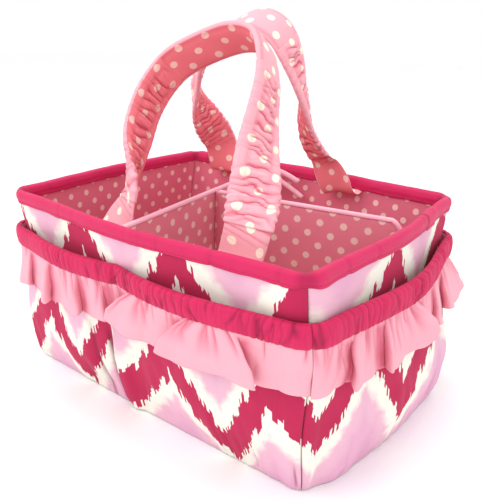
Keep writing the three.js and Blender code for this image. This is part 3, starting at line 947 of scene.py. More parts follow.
@dataclass
class BoxShell:
    """The walls' printed cloth and lining, the bottom and the binding of the rim."""

    form: BoxForm
    palette: Palette
    stitching: Stitching
    print_place: PrintPlace = PrintPlace(
        ((-200, -2.487), (200, 1.533)),
        ((-130, -0.8), (-33, -0.17), (-14, 0), (1, 0.16), (76, 0.85), (92, 1), (130, 1.35)),
        77, 70,
    )
    wall_top: float = 178.2
    panel_foot: float = 1.2
    panel_cloth: float = 1.0
    # Slack cloth stands up to twice this far off its board, in swells this long
    panel_slack: float = 0.45
    panel_swell: float = 70
    seam_tuck: float = 0.5
    seam_reach: float = 1.6
    lining_foot: float = 3.7
    lining_cloth: float = 0.9
    lining_depth: float = 5
    lining_slack: float = 0.5
    lining_swell: float = 80
    bottom_cloth: float = 1.2
    bottom_reach: float = 1.1
    floor_height: float = 4.7
    floor_slack: float = 0.35
    floor_swell: float = 60
    binding_depth: float = 11
    binding_cloth: float = 1.2
    binding_crown: float = 3.4
    # The tape's outer face from its edge up, out from the cloth and up from the edge: the row of stitching
    # holds it in at the third point
    binding_face: tuple = ((-0.1, 0), (0, 1.2), (-0.25, 2.1), (0.45, 4.0), (0.5, 6.0))
    stitch_row: int = 2
    # Shares of the tape's half thickness: its unevenness, its small tucks, the creases at the corners and
    # the step up where its end laps over its start
    unevenness: float = 0.045
    small_tuck: float = 0.09
    corner_tuck: float = 0.16
    lap_step: float = 0.16
    lap_length: float = 24
    lap_y: float = 42

    def build(self) -> None:
        """Builds the pieces."""
        for wall in Wall:
            self.panel(wall)
            self.lining(wall)
        self.bottom()
        self.binding()

    def tuck(self, columns: Columns) -> Array:
        """Returns how far the cloth turns in at the corner seams."""
        edge = columns.from_seam(self.form.rim_corner * math.pi / 4)
        return self.seam_tuck * bell(edge, self.seam_reach)

    def panel(self, wall: Wall) -> None:
        """Makes the printed cloth stretched over a wall's board: nearly flat, with a few slack swells.

        Args:
            wall: the wall.
        """
        columns = self.form.columns(wall, 3.0)
        z = np.linspace(self.panel_foot, self.wall_top, 70)[:, None]
        outline = self.form.box_at(z)
        t = self.form.along(wall, columns, outline)
        slack = self.panel_slack * (1 + crumple(t, 1.6 * z, 11 + wall.degrees, self.panel_swell))
        offset = slack * rise(self.wall_top - z, 6, 26) - self.tuck(columns)
        points = self.form.place(wall, columns, outline, offset, z)
        flat = self.print_place.on_cloth(wall, t, z)
        piece = cloth_piece(
            f"{wall.label}_panel_cloth", points, flat, [self.palette[Finish.PRINT]], self.panel_cloth
        )
        dress(piece, "caddy_body", "printed_cloth", f"{wall.label}_panel")

    def lining(self, wall: Wall) -> None:
        """Makes the dotted lining of a wall, which faces inwards.

        Args:
            wall: the wall.
        """
        columns = self.form.columns(wall, 4.0)
        z = np.linspace(self.lining_foot, self.wall_top, 60)[:, None]
        outline = self.form.box_at(z)
        t = self.form.along(wall, columns, outline)
        slack = self.lining_slack * (1 + crumple(t, z, 31 + wall.degrees, self.lining_swell))
        offset = -self.lining_depth - slack * rise(self.wall_top - z, 10, 30) * rise(z, 4, 20)
        points = self.form.place(wall, columns, outline, offset, z)[:, ::-1]
        flat = flat_map(-t, z)[:, ::-1]
        piece = cloth_piece(
            f"{wall.label}_lining_cloth", points, flat, [self.palette[Finish.LINING]], self.lining_cloth
        )
        dress(piece, "caddy_body", "lining_cloth", f"{wall.label}_lining")

    def ring(self, offset: Array, z: Array, spacing: float, outline: Outline) -> tuple[Array, Array]:
        """Lays a ring of points round the box.

        Args:
            offset: distance out from the outline, rows by 1.
            z: heights, rows by 1.
            spacing: distance between columns.
            outline: the outline at those heights.

        Returns:
            Rows by columns by 3 points, and the way round to each column and back to the first.
        """
        sides = []
        for wall in Wall:
            columns = self.form.columns(wall, spacing).without_last()
            sides.append(self.form.place(wall, columns, outline, offset, z, gap=0.0))
        points = np.concatenate(sides, 1)
        return points, run_along(np.concatenate([points[0], points[0, :1]]))

    def bottom(self) -> None:
        """Makes the canvas under the box and the dotted lining over its floor."""
        rows = np.linspace(1, 0, 14)[:, None, None]
        ground, floor = np.array([[0.0]]), np.array([[self.floor_height]])
        edge_gap = 0.2
        canvas, _ = self.ring(np.array([[self.bottom_reach]]), ground, 4.0, self.form.pocket_at(ground))
        lining, _ = self.ring(
            np.array([[-self.lining_depth - edge_gap]]), floor, 4.0, self.form.box_at(floor)
        )
        canvas = self.form.racked(canvas)
        parts = (
            ("base_canvas", "base_cover", "base_cloth", Finish.CANVAS, canvas, self.bottom_cloth),
            ("floor_lining", "base_lining", "lining_cloth", Finish.LINING, lining, self.lining_cloth),
        )
        for name, node, slot, finish, edge, thickness in parts:
            points = edge * rows
            points[..., 2] = edge[0, 0, 2]
            if finish is Finish.LINING:
                swell = self.floor_slack * (1 + crumple(points[..., 0], points[..., 1], 71, self.floor_swell))
                points[..., 2] += swell * rise(1 - rows[..., 0], 0.0, 0.3)
            else:
                points = points[::-1]
            flat = np.concatenate([points, points[:, :1]], 1)[..., :2]
            piece = cloth_piece(name, points, flat, [self.palette[finish]], thickness, around=True)
            dress(piece, "caddy_body", slot, node)

    def binding(self) -> None:
        """Makes the tape folded over the rim, held in by its stitching and creased at the corners."""
        profile = self.binding_profile()
        points, run = self.ring(profile[:, :1], profile[:, 1:], 1.6, self.form.box_at(profile[:, 1:]))
        middle = points.mean(0)
        way = run[:-1]
        past_lap = way - self.lap_run(points, run)
        uneven = self.unevenness * crumple(way[None], profile[:, 1:] * 2.0, 5, 24)
        corner = self.corner_marks(points)
        tuck = self.small_tuck * pinches(way, 0.3 + 0 * way, 34, 6, width=0.9)
        lap = rise(past_lap, -0.8, 0.8) * (1 - rise(past_lap, self.lap_length - 2, self.lap_length + 2))
        swelling = (1 + uneven) * (1 - tuck - self.corner_tuck * corner) + self.lap_step * lap
        points = middle + (points - middle) * swelling[..., None]
        # Painted shade in the small tucks, the corner creases and along the edge where the tape's end laps
        # over
        shade_depth = np.maximum.reduce([tuck * 4, corner * 0.7, bell(past_lap, 0.8)])[None]
        piece = cloth_piece(
            "rim_binding_tape", points, flat_map(run[None], run_along(profile)[:, None]),
            [self.palette[Finish.BINDING]], self.binding_cloth - 0.1, around=True, shade_depth=shade_depth,
        )
        dress(piece, "caddy_body", "binding_tape", "rim_binding")
        for row in (self.stitch_row, len(profile) - 1 - self.stitch_row):
            line = points[row]
            self.stitching.sew("caddy_body", np.concatenate([line, line[:1]]), Finish.DEEP_THREAD)

    def binding_profile(self) -> Array:
        """Works out the folded tape's section.

        Returns:
            Points of distance out from the wall and height, from the outer edge over the rim to the inner.
        """
        out = LAYER_GAP + self.binding_cloth
        into = -self.lining_depth - LAYER_GAP - self.binding_cloth
        top = self.form.height
        turn = np.linspace(0, np.pi, 13)
        crown = top + self.binding_crown * (np.sin(turn) - 1)
        over = np.stack([(out + into) / 2 + (out - into) / 2 * np.cos(turn), crown], -1)
        outer = np.array(self.binding_face) + (out, top - self.binding_depth)
        inner = np.stack([into + (out - outer[::-1, 0]), outer[::-1, 1]], -1)
        return np.concatenate([outer, over, inner])

    def corner_marks(self, points: Array) -> Array:
        """Finds where the binding is creased.

        Args:
            points: the binding's points, rows by columns.

        Returns:
            How near each column is to a corner, from 0 to 1.
        """
        x, y = points[0, :, 0], points[0, :, 1]
        corners = [(a * x.max(), b * y.max()) for a in (-1, 1) for b in (-1, 1)]
        away = np.minimum.reduce([np.hypot(x - a, y - b) for a, b in corners])
        return bell(away - away.min(), 2.0)

    def lap_run(self, points: Array, run: Array) -> float:
        """Finds where the tape's end laps over its start, which is on the right wall.

        Args:
            points: the binding's points, rows by columns.
            run: the way round to each column.

        Returns:
            The way round to the lap.
        """
        right = points[0, :, 0] > 0.9 * points[0, :, 0].max()
        y = np.where(right, points[0, :, 1], np.inf)
        return float(run[int(np.argmin(np.abs(y - self.lap_y)))])


@dataclass(frozen=True)
class Pleat:
    """The deep pleat beside a long wall's division: the cloth laps from the right over a valley, and a
    shallower valley lies to its left. Its line leans, and is at its place at one height."""

    place: float = -30.5
    place_height: float = 70
    lean: float = 0.06
    top: float = 90
    # Place from the line, half width and height of the valley, the lap and the second valley
    folds: tuple = ((-2, 3.0, -6.0), (6.5, 5.0, 4.6), (-19, 3.2, -2.6))
    # Place from the line, half width and length of the lap's shift over the valley
    shift: tuple = (2.5, 3.4, -6.5)
    # Place from the line, half width and depth of the painted shadow lines beside the folds
    shadows: tuple = ((-2.2, 2.6, 1.15), (-18.6, 1.9, 0.69))

    def past(self, t: Array, z: Array) -> Array:
        """Returns the distance along the wall from the pleat's line."""
        return t - self.place - self.lean * (self.place_height - z)

    def relief(self, t: Array, z: Array) -> Array:
        """Returns how far the folds stand out at places along the wall and heights."""
        past = self.past(t, z)
        stand = sum(height * bell(past - place, width) for place, width, height in self.folds)
        return rise(self.top - z, 0, 60) * stand

    def sideways(self, t: Array, z: Array) -> Array:
        """Returns how far the lap shifts along the wall at places along it and heights."""
        place, width, reach = self.shift
        return reach * rise(self.top - z, 0, 50) * rise(z, 0, 12) * bell(self.past(t, z) - place, width)

    def shade(self, t: Array, z: Array) -> Array:
        """Returns the painted shadow lines beside the pleat's folds, from 0 to 1, at places along the wall
        and heights.
        """
        past = self.past(t, z)
        dark = sum(depth * bell(past - place, width) for place, width, depth in self.shadows)
        return np.minimum(1, dark) * rise(self.top + 4 - z, 0, 30)


@dataclass
class PocketTrim:
    """The gathered pockets, their ruched bands and the frills below the bands."""

    form: BoxForm
    palette: Palette
    stitching: Stitching
    pleat: Pleat = Pleat()
    print_place: PrintPlace = PrintPlace(
        ((-176, -4.04), (-103, -3), (-68, -2.5), (-33, -2), (-30.5, -1.93), (-28.5, -1.56), (-26, -1.5),
         (33, -1), (80, -0.5), (122, 0), (176, 0.22)),
        ((-150, -0.98), (-102, -0.5), (-60, 0), (-14, 0.5), (70, 1), (140, 1.4)),
        -1, 34,
    )
    pocket_cloth: float = 1.1
    pocket_foot: float = 1.2
    pocket_drop: float = 1.4
    # The pocket's cloth is cut longer than its wall by this share, to be gathered
    pocket_fullness: float = 1.15
    # Height and pitch of the gathers at the bottom seam and under the band
    foot_gathers: tuple = (3.2, 19)
    neck_gathers: tuple = (0.9, 8)
    # Height and usual size of the wide creases and of the fine ones
    wide_creases: tuple = (1.3, 48)
    fine_creases: tuple = (0.4, 15)
    # Depth and pitch of the sharp folds that run up from the bottom seam
    foot_folds: tuple = (2.4, 26)
    # Depth and reach of the tucks in the corner seams of the pockets and of the bands
    pocket_tuck: tuple = (1.1, 1.3)
    band_tuck: tuple = (1.0, 1.6)
    casing_cloth: float = 0.9
    casing_fullness: float = 1.7
    band_reach: float = 3.95
    band_bulge: float = 2.1
    # Height and pitch of the ruching's coarse ridges and of its fine ones, and the depth of its nips
    coarse_ridges: tuple = (1.15, 4.1)
    fine_ridges: tuple = (0.3, 2.3)
    nip_depth: float = 1.1
    # The rows of the casing's turned-in upper edge: distance out, share of the ridges' waviness that is
    # left, and the way over the edge
    upper_edge: tuple = ((2.9, 1.0, 1.5), (1.4, 0.7, 3.0), (0.2, 0.0, 4.2))
    ruffle_cloth: float = 0.7
    ruffle_fullness: float = 1.8
    ruffle_drop: float = 34
    ruffle_tuck: float = 1.7
    # How far the frill has opened out at some shares of its drop
    opening: tuple = ((0, 0), (0.07, 0), (0.3, 0.42), (0.62, 0.8), (1, 1))
    # Depth and pitch of the creases at the frill's neck, and height and size of its crumples, its soft
    # waves and the waviness of its hem
    neck_creases: tuple = (2.1, 5.2)
    crumples: tuple = (1.2, 21)
    soft_waves: tuple = (2.2, 17)
    hem_waves: tuple = (1.3, 44)
    # Where one panel of the frill laps over the next: place along the wall, how far the lip stands out
    # at the hem, how far it shifts over the panel to its left (or right, when negative), how far it lifts
    long_laps: tuple = (
        (-123, 8, -7, 3), (-90, 9, -6, -2), (-52, 9, -8, 0), (-24, 6, -7, 2), (-2, 13, 20, 9),
        (58, 12, 22, 4), (104, 8, -24, 2),
    )
    end_laps: tuple = ((-84, 9, 17, 2), (-50, 10, 14, 3), (0, 12, -18, 9), (38, 9, 8, 4), (72, 10, 12, 4))
    lip: float = 5.0
    lip_reach: float = 27
    # The walls at whose corner the frill stands far out, and the end of each that is there. There the hem
    # stands out and lifts over the last stretch of the wall
    flared: dict = field(default_factory=lambda: {Wall.RIGHT: 1, Wall.BACK: -1})
    flare_out: float = 13
    flare_lift: float = 11
    flare_reach: float = 52

    def build(self) -> None:
        """Builds the pieces of every wall."""
        for wall in Wall:
            self.pocket(wall)
            self.band(wall)
            self.ruffle(wall)

    def pocket(self, wall: Wall) -> None:
        """Makes the printed pocket cloth, gathered into the bottom seam and under the band.

        Args:
            wall: the wall.
        """
        form = self.form
        columns = form.columns(wall, 1.6)
        z = np.linspace(self.pocket_foot, form.band_top - self.pocket_drop, 84)[:, None]
        outline = form.pocket_at(z)
        t = form.along(wall, columns, form.pocket_at(form.band_bottom))
        relief, shade_depth = self.pocket_creases(wall, t, z)
        sideways = np.zeros_like(relief)
        if wall.is_long:
            relief = relief + self.pleat.relief(t, z)
            sideways = self.pleat.sideways(t, z)
            shade_depth = np.maximum(shade_depth, self.pleat.shade(t, z))
        depth, reach = self.pocket_tuck
        seam = depth * bell(columns.from_seam(), reach) * rise(form.band_top - z, 0, 20)
        offset = form.swell(wall, columns, z) + self.pocket_cloth + relief * columns.past_seam(0.4)
        offset = np.maximum(offset - seam, LAYER_GAP + self.pocket_cloth + 0.1 - outline.stand)
        points = form.racked(form.place(wall, columns, outline, offset, z, sideways))
        piece = cloth_piece(
            f"{wall.label}_pocket_cloth", points, self.print_place.on_cloth(wall, t, z),
            [self.palette[Finish.PRINT]], self.pocket_cloth, shade_depth=shade_depth,
        )
        dress(piece, "caddy_body", "printed_cloth", f"{wall.label}_pocket")

    def pocket_creases(self, wall: Wall, t: Array, z: Array) -> tuple[Array, Array]:
        """Works out how a pocket's cloth is gathered and creased.

        Args:
            wall: the wall.
            t: places along it.
            z: heights, rows by 1.

        Returns:
            The relief, and the painted shade that each point takes in the folds.
        """
        seed = 100 + wall.degrees
        slack = rise(z, 0, 14) * rise(self.form.band_top - z, 2, 24)
        height, pitch = self.foot_gathers
        low = height * np.exp(-z / 38) * rise(z, -3, 8) * (gathers(t + 0.08 * z, pitch, seed) - 0.5)
        height, pitch = self.neck_gathers
        high = height * rise(z, 60, 130) * (gathers(t - 0.04 * z, pitch, seed + 1) - 0.5)
        height, size = self.wide_creases
        wide = height * slack * crumple(t * 1.3, z * 0.5, seed + 2, size)
        height, size = self.fine_creases
        fine = height * slack * crumple(t, z * 0.6, seed + 3, size)
        depth, pitch = self.foot_folds
        folds = depth * rise(z, 0, 6) * pinches(t, z / 125, pitch, seed + 4, width=1.5, reach=0.55)
        # Painted shade in the sharp folds that run up from the bottom seam
        in_fold = rise(folds - 0.35 * folds.max(), 0, 0.8) * rise(z, 0, 3) * (z < 60)
        return low + high + wide + fine - folds, 0.45 * rise(0.5 - low, 0, 1.6) * in_fold

    def band(self, wall: Wall) -> None:
        """Makes the casing, ruched by the elastic in it into fine upright ridges.

        Args:
            wall: the wall.
        """
        form = self.form
        columns = form.columns(wall, 0.62)
        share = np.linspace(0, 1, 19)[:, None]
        height = form.band_bottom + form.band_depth * share
        t = form.along(wall, columns, form.pocket_at(form.band_top))
        coarse, fine, nips, tight = self.ruching(wall, t, share)
        from_middle = 2 * share - 1
        round_out = np.sqrt(np.clip(1 - from_middle**2, 0, 1))
        held = bell(t - form.division, 2.2) if wall.is_long else np.zeros_like(t)
        depth, reach = self.band_tuck
        ridges = (self.coarse_ridges[0] * (coarse - 0.3) + self.fine_ridges[0] * fine) * tight
        ridges = ridges - self.nip_depth * nips
        bulge = 0.5 + ridges * (0.3 + 0.7 * round_out) + self.band_bulge * round_out
        offset = form.swell(wall, columns, height) + self.band_reach + bulge * (1 - 0.7 * held)
        offset = offset - depth * bell(columns.from_seam(), reach)
        scallop = 0.9 * (coarse - 0.5) * np.abs(from_middle) ** 3 * np.sign(from_middle) * tight
        face = form.place(wall, columns, form.pocket_at(height), offset, height + scallop)
        out, waviness, over = np.array(self.upper_edge).T[:, :, None]
        mouth = np.full_like(out, form.band_top)
        edge_offset = form.swell(wall, columns, mouth + 0.2) + out + 0.3 * coarse[-1]
        edge_height = mouth + 0.2 + 0.5 * coarse[-1] * waviness
        edge = form.place(wall, columns, form.pocket_at(mouth), edge_offset, edge_height)
        up = np.concatenate([form.band_depth * share, form.band_depth + over])
        # Painted shade in the ruching's valleys and nips, carried up over the turned-in edge
        deep = (0.7 * bell(coarse, 0.25) + 0.2 * bell(fine, 0.3)) * tight + 0.8 * nips
        shade_depth = np.concatenate([deep, np.repeat(deep[-1:], len(out), 0)])
        piece = cloth_piece(
            f"{wall.label}_band_casing", np.concatenate([face, edge]), flat_map(self.casing_fullness * t, up),
            [self.palette[Finish.CASING]], self.casing_cloth, shade_depth=shade_depth,
        )
        dress(piece, "caddy_body", "band_casing", f"{wall.label}_band")
        if wall.is_long:
            # A short bar of stitches holds the band down at the division
            column = int(np.argmin(np.abs(t - form.division)))
            self.stitching.sew("caddy_body", face[2:7, column])

    def ruching(self, wall: Wall, t: Array, share: Array) -> tuple[Array, ...]:
        """Works out how the elastic draws a band together.

        Args:
            wall: the wall.
            t: places along it.
            share: how far up the band each row is, from 0 to 1.

        Returns:
            The coarse ridges, the fine ones, the sharp nips between them, and how tight each place is.
        """
        seed = 200 + wall.degrees
        sway = (1.6 * np.sin(t / 23.0 + seed) + 0.8 * np.sin(t / 7.0)) * (share - 0.5)
        lean = sway + 0.9 * crumple(t, self.form.band_depth * share, seed + 3, 11)
        coarse = gathers(t + lean, self.coarse_ridges[1], seed, 0.9)
        fine = gathers(t - lean, self.fine_ridges[1], seed + 1, 0.7)
        tight = 0.3 + 0.7 * rise(crumple(t, 0 * t, seed + 2, 46), -0.5, 0.7)
        nips = pinches(t + lean, share, 19, seed + 5, width=0.9, reach=0.9)
        nips = nips + pinches(t - lean, 1 - share, 23, seed + 6, width=0.9, reach=0.8)
        return coarse, fine, nips, tight

    def laps(self, wall: Wall, t: Array) -> tuple[Array, ...]:
        """Says how the frill folds along its hem.

        Args:
            wall: the wall.
            t: places along it.

        Returns:
            How far out the hem stands, how far it shifts sideways, how far it lifts, and the painted shade
            of its folds and of the shadow under each lip.
        """
        out, sideways, lift, shade_depth = (np.zeros_like(t) for _ in range(4))
        for place, stand, shift, raised in self.long_laps if wall.is_long else self.end_laps:
            past = np.sign(shift) * (t - place)
            onto_lip = rise(past, 0, self.lip)
            lip = onto_lip * (1 - rise(past, self.lip, self.lip_reach))
            out += stand * lip
            sideways -= shift * lip
            lift += raised * onto_lip * (1 - rise(past, self.lip, 0.6 * self.lip_reach))
            # Painted shade along the lap's fold and a painted shadow under its lip
            under = 0.8 * bell(past + 4, 5.0) * (past < 0)
            shade_depth = np.maximum(shade_depth, np.maximum(bell(past, 1.9), under))
        return out, sideways, lift, shade_depth

    def ruffle(self, wall: Wall) -> None:
        """Makes the frill: creased at its neck, it opens into panels that lap over each other at the hem.

        Args:
            wall: the wall.
        """
        form = self.form
        columns = form.columns(wall, 0.75)
        top, drop = form.band_bottom + self.ruffle_tuck, self.ruffle_drop + self.ruffle_tuck
        share = np.linspace(0, 1, 36)[:, None]
        t = form.along(wall, columns, form.pocket_at(form.band_bottom))
        seed = 300 + wall.degrees
        out, sideways, lift, lap_shade = self.laps(wall, t)
        opened = np.interp(share, *zip(*self.opening))
        depth, pitch = self.neck_creases
        creases = pinches(t, share, pitch, seed, width=0.9, reach=0.6) * rise(share, 0, 0.06)
        height, size = self.crumples
        crush = height * opened * crumple(t, self.ruffle_drop * share, seed + 3, size)
        height, pitch = self.soft_waves
        soft = height * opened * (gathers(t + 4 * share, pitch, seed + 2) - 0.5)
        end = np.abs(t).max()
        flare = rise(self.flared.get(wall, 0) * t, end - self.flare_reach, end) * opened
        edge = columns.past_seam(0.5)
        height, size = self.hem_waves
        wave = height * crumple(t, 0 * t, seed + 6, size)
        z = top - drop * share + (lift + wave - 1.0 + self.flare_lift * flare) * opened * share
        level = z.mean(1, keepdims=True)
        swell = form.swell(wall, columns, level)
        panels = opened * (2.6 + out * (0.4 + 0.6 * edge)) + self.flare_out * flare
        offset = swell + 2.9 + bell(share, 0.25) + panels - depth * creases + crush + soft
        offset = np.maximum(offset, swell + 2.2 + 1.3 * opened)
        points = form.place(wall, columns, form.pocket_at(level), offset, z, sideways * opened * edge)
        points = form.racked(points)
        # Painted shade in the neck's creases and at the laps
        shade_depth = np.maximum(0.9 * creases, lap_shade * rise(share, 0.02, 0.2) * edge)
        piece = cloth_piece(
            f"{wall.label}_frill", points, flat_map(self.ruffle_fullness * t, drop * (1 - share)),
            [self.palette[Finish.FRILL]], self.ruffle_cloth, shade_depth=shade_depth,
        )
        dress(piece, "caddy_body", "ruffle_cloth", f"{wall.label}_ruffle")


# The divider insert


@dataclass
class Divider:
    """One stiffened divider with its dotted cover and the light tape on its top edge."""

    name: str
    body: str
    palette: Palette
    stitching: Stitching
    origin: Array
    along: Array
    side: Array
    # The places of its near and far end at each height
    ends: tuple
    # The flap's cover is thin at its fold and has its full thickness this far from it
    fold: float = 0.0
    fold_share: float = 0.43
    # Where the flap is sewn to the long divider, whose cover is taut there and whose stitches leave a gap
    joint: float | None = None
    joint_calm: tuple = (4, 18)
    stitch_gap: float = 5
    top: float = 177
    bottom: float = 5.0
    chamfer_depth: float = 13
    half: float = 2.1
    slack: float = 0.45
    slack_size: float = 50
    edging_gap: float = 0.3
    edging_cloth: float = 0.5

    def at(self, distance: Array, across: Array, z: Array) -> Array:
        """Returns the points at some distances along the divider, places across it and heights."""
        distance, across, z = np.broadcast_arrays(distance, across, z)
        flat = self.origin + distance[..., None] * self.along + across[..., None] * self.side
        return np.concatenate([flat, z[..., None]], -1)

    def build(self) -> None:
        """Builds the cover and its edging."""
        self.cover()
        self.edging()

    def cover(self) -> None:
        """Makes the dotted cloth, drawn over the board from above and closed at both ends."""
        near, far = self.ends
        shoulder = self.top - self.half
        up = np.linspace(self.bottom, shoulder, 46)
        turn = np.linspace(0, np.pi, 7)[1:-1]
        z = np.concatenate([up, shoulder + self.half * np.sin(turn), up[::-1]])[:, None]
        face = np.ones_like(up)
        across = np.concatenate([face, np.cos(turn), -face])[:, None] * -self.half
        end = np.linspace(0, 0.02, 8)
        share = np.concatenate([end[:-1], np.linspace(end[-1], 1 - end[-1], 74), 1 - end[-2::-1]])
        start, finish = near(z), far(z)
        distance = start + (finish - start) * share
        from_start, from_end = distance - start, finish - distance
        opening = rounded_end(from_start, self.half)
        if self.fold:
            opening = self.fold_share + (1 - self.fold_share) * rise(from_start, 0, self.fold)
        seed = 400 + len(self.name)
        slack = self.slack * (1 + crumple(distance, z + 90 * (across > 0), seed, self.slack_size))
        calm = rise(self.top - z, 3, 22) * rise(from_end, 2, 14) * rise(from_start, 2, 14)
        if self.joint is not None:
            calm = calm * rise(np.abs(distance - self.joint), *self.joint_calm)
        on_face = np.abs(across) > self.half * 0.9
        wide = (np.abs(across) + slack * calm * on_face) * np.sign(across)
        points = self.at(distance, wide * rounded_end(from_end, self.half) * opening, z)
        flat = flat_map(distance, run_along(np.concatenate([z, across], 1))[:, None])
        piece = cloth_piece(f"{self.name}_dotted_cover", points, flat, [self.palette[Finish.DIVIDER]], 0.0)
        dress(piece, self.body, "divider_cloth", f"{self.name}_cover")

    def edging(self) -> None:
        """Makes the tape folded over the top edge and down the sloped end."""
        near, far = self.ends
        knee = self.top - self.chamfer_depth
        begin = self.fold or float(near(self.top))
        corner = float(far(self.top))
        line = np.array([
            [begin, self.top], [corner - 1.5, self.top], [corner + 1.5, self.top - 1.8],
            [float(far(knee)), knee],
        ])
        steps = run_along(line)
        run = np.arange(0, steps[-1], 1.5)
        path = np.stack([np.interp(run, steps, line[:, k]) for k in (0, 1)], -1)
        ahead = np.gradient(path, axis=0)
        ahead[1:-1] = (ahead[:-2] + ahead[1:-1] + ahead[2:]) / 3
        ahead /= np.linalg.norm(ahead, axis=1, keepdims=True)
        wide = self.half + self.edging_gap
        turn = np.linspace(0, np.pi, 7)
        across = np.concatenate([[-wide, -wide - 0.1], -wide * np.cos(turn), [wide + 0.1, wide]])[:, None]
        out = np.concatenate([[-2.0, -1.2], -0.3 + 1.5 * np.sin(turn), [-1.2, -2.0]])[:, None]
        wave = 1 + 0.06 * crumple(run, 0 * run, 450, 18)
        points = self.at(path[:, 0] - ahead[:, 1] * out, across * wave, path[:, 1] + ahead[:, 0] * out)
        flat = flat_map(run[None], np.linspace(0, 9, len(across))[:, None])
        piece = cloth_piece(
            f"{self.name}_edging_tape", points, flat, [self.palette[Finish.EDGING]], self.edging_cloth
        )
        dress(piece, self.body, "edging_tape", f"{self.name}_edging")
        joint = self.fold - 1 if self.joint is None else self.joint
        for row in (1, -2):
            for sewn in (path[:, 0] < joint - self.stitch_gap, path[:, 0] > joint + self.stitch_gap):
                if sewn.sum() > 3:
                    self.stitching.sew(self.body, points[row][sewn])


@dataclass
class DividerInsert:
    """The divider from wall to wall and the flap sewn to it."""

    form: BoxForm
    palette: Palette
    stitching: Stitching
    front_x: float = -5
    back_x: float = -40
    front_inset: float = 2.3
    back_gap: float = 4
    chamfer_length: float = 11
    chamfer_depth: float = 13
    top: float = 177
    flap_y: float = 1
    flap_end: float = 149.5
    flap_turn: float = 8.5
    flap_fold: float = 4
    fold_gap: float = 0.8
    half: float = 2.1
    # The tape's loose ends: how far below the top each starts, its way at the start and how it bends down
    tail_ways: tuple = ((0.0, (28, 5, 6), (9, 1, -15)), (-4.0, (33, 5, -8), (10, 0, -12)))
    tail_inset: float = 3
    tail_lift: float = 0.6
    tail_cloth: float = 0.7
    # The tape curls to a trough of this radius that faces this way
    tail_width: float = 10.0
    tail_radius: float = 2.7
    tail_facing: tuple = (0.55, -0.7, 0.45)

    def tails(self, start: Array) -> None:
        """Makes the loose ends of the edging tape past the divider's far end.

        Args:
            start: where the tape leaves the divider.
        """
        facing = np.array(self.tail_facing)
        for number, (drop, way, bend) in enumerate(self.tail_ways):
            share = np.linspace(0, 1, 24)[:, None]
            line = start + (0, 0, drop) + share * np.array(way) + share**2 * np.array(bend)
            across = np.cross(np.gradient(line, axis=0), facing)
            across /= np.linalg.norm(across, axis=1, keepdims=True)
            turn = np.linspace(1.5, -1.5, 9)[:, None, None]
            points = line + self.tail_radius * (np.sin(turn) * across + (np.cos(turn) - 1) * facing)
            run = run_along(line)
            flat = flat_map(run[None], turn[..., 0] * self.tail_radius)
            piece = cloth_piece(
                f"cross_tail_{number}", points, flat, [self.palette[Finish.EDGING]], self.tail_cloth
            )
            dress(piece, "caddy_body", "edging_tape")

    def build(self) -> None:
        """Builds both dividers."""
        knee = self.top - self.chamfer_depth

        def front_end(z: float) -> float:
            """Returns where the divider meets the front wall."""
            return -self.form.clear_half_width(z, self.front_x) + self.front_inset

        def back_end(z: float) -> float:
            """Returns where the divider stops short of the back wall."""
            return self.form.clear_half_width(z, self.back_x) - self.back_gap

        front = np.array([self.front_x, front_end(self.top)])
        back = np.array([self.back_x, back_end(self.top)])
        line = (back - front) / np.linalg.norm(back - front)
        square = np.array([line[1], -line[0]])

        def on_cross(y: float) -> float:
            """Returns the distance along the divider at a place y."""
            return (y - front[1]) / line[1]

        def slope(z: Array) -> Array:
            """Returns how far up the sloped end a height is, from 0 to 1."""
            return np.maximum(0, z - knee) / self.chamfer_depth

        def cross_near(z: Array) -> Array:
            """Returns the front end of the divider at each height."""
            return np.vectorize(lambda h: on_cross(front_end(h)))(z)

        def cross_far(z: Array) -> Array:
            """Returns the back end of the divider at each height."""
            reach = np.vectorize(lambda h: on_cross(back_end(min(h, knee))))(z)
            return reach - slope(z) * self.chamfer_length

        Divider(
            "cross", "caddy_body", self.palette, self.stitching, front, line, -square,
            (cross_near, cross_far),
            joint=on_cross(self.flap_y),
        ).build()
        end = front + line * (float(cross_far(np.array(self.top))) - self.tail_inset)
        self.tails(np.array([*end, self.top + self.tail_lift]))
        axis = front + line * on_cross(self.flap_y) + square * (self.half + self.fold_gap / 2)
        turn = math.radians(self.flap_turn)
        reach = np.array([math.cos(turn), math.sin(turn)])
        side = np.array([-reach[1], reach[0]])
        Divider(
            "flap", "divider_flap", self.palette, self.stitching, axis, reach, side,
            (
                lambda z: 0 * np.asarray(z, float) + self.fold_gap / 2,
                lambda z: self.flap_end - axis[0] - slope(z) * self.chamfer_length,
            ),
            fold=self.flap_fold,
        ).build()


# The handles


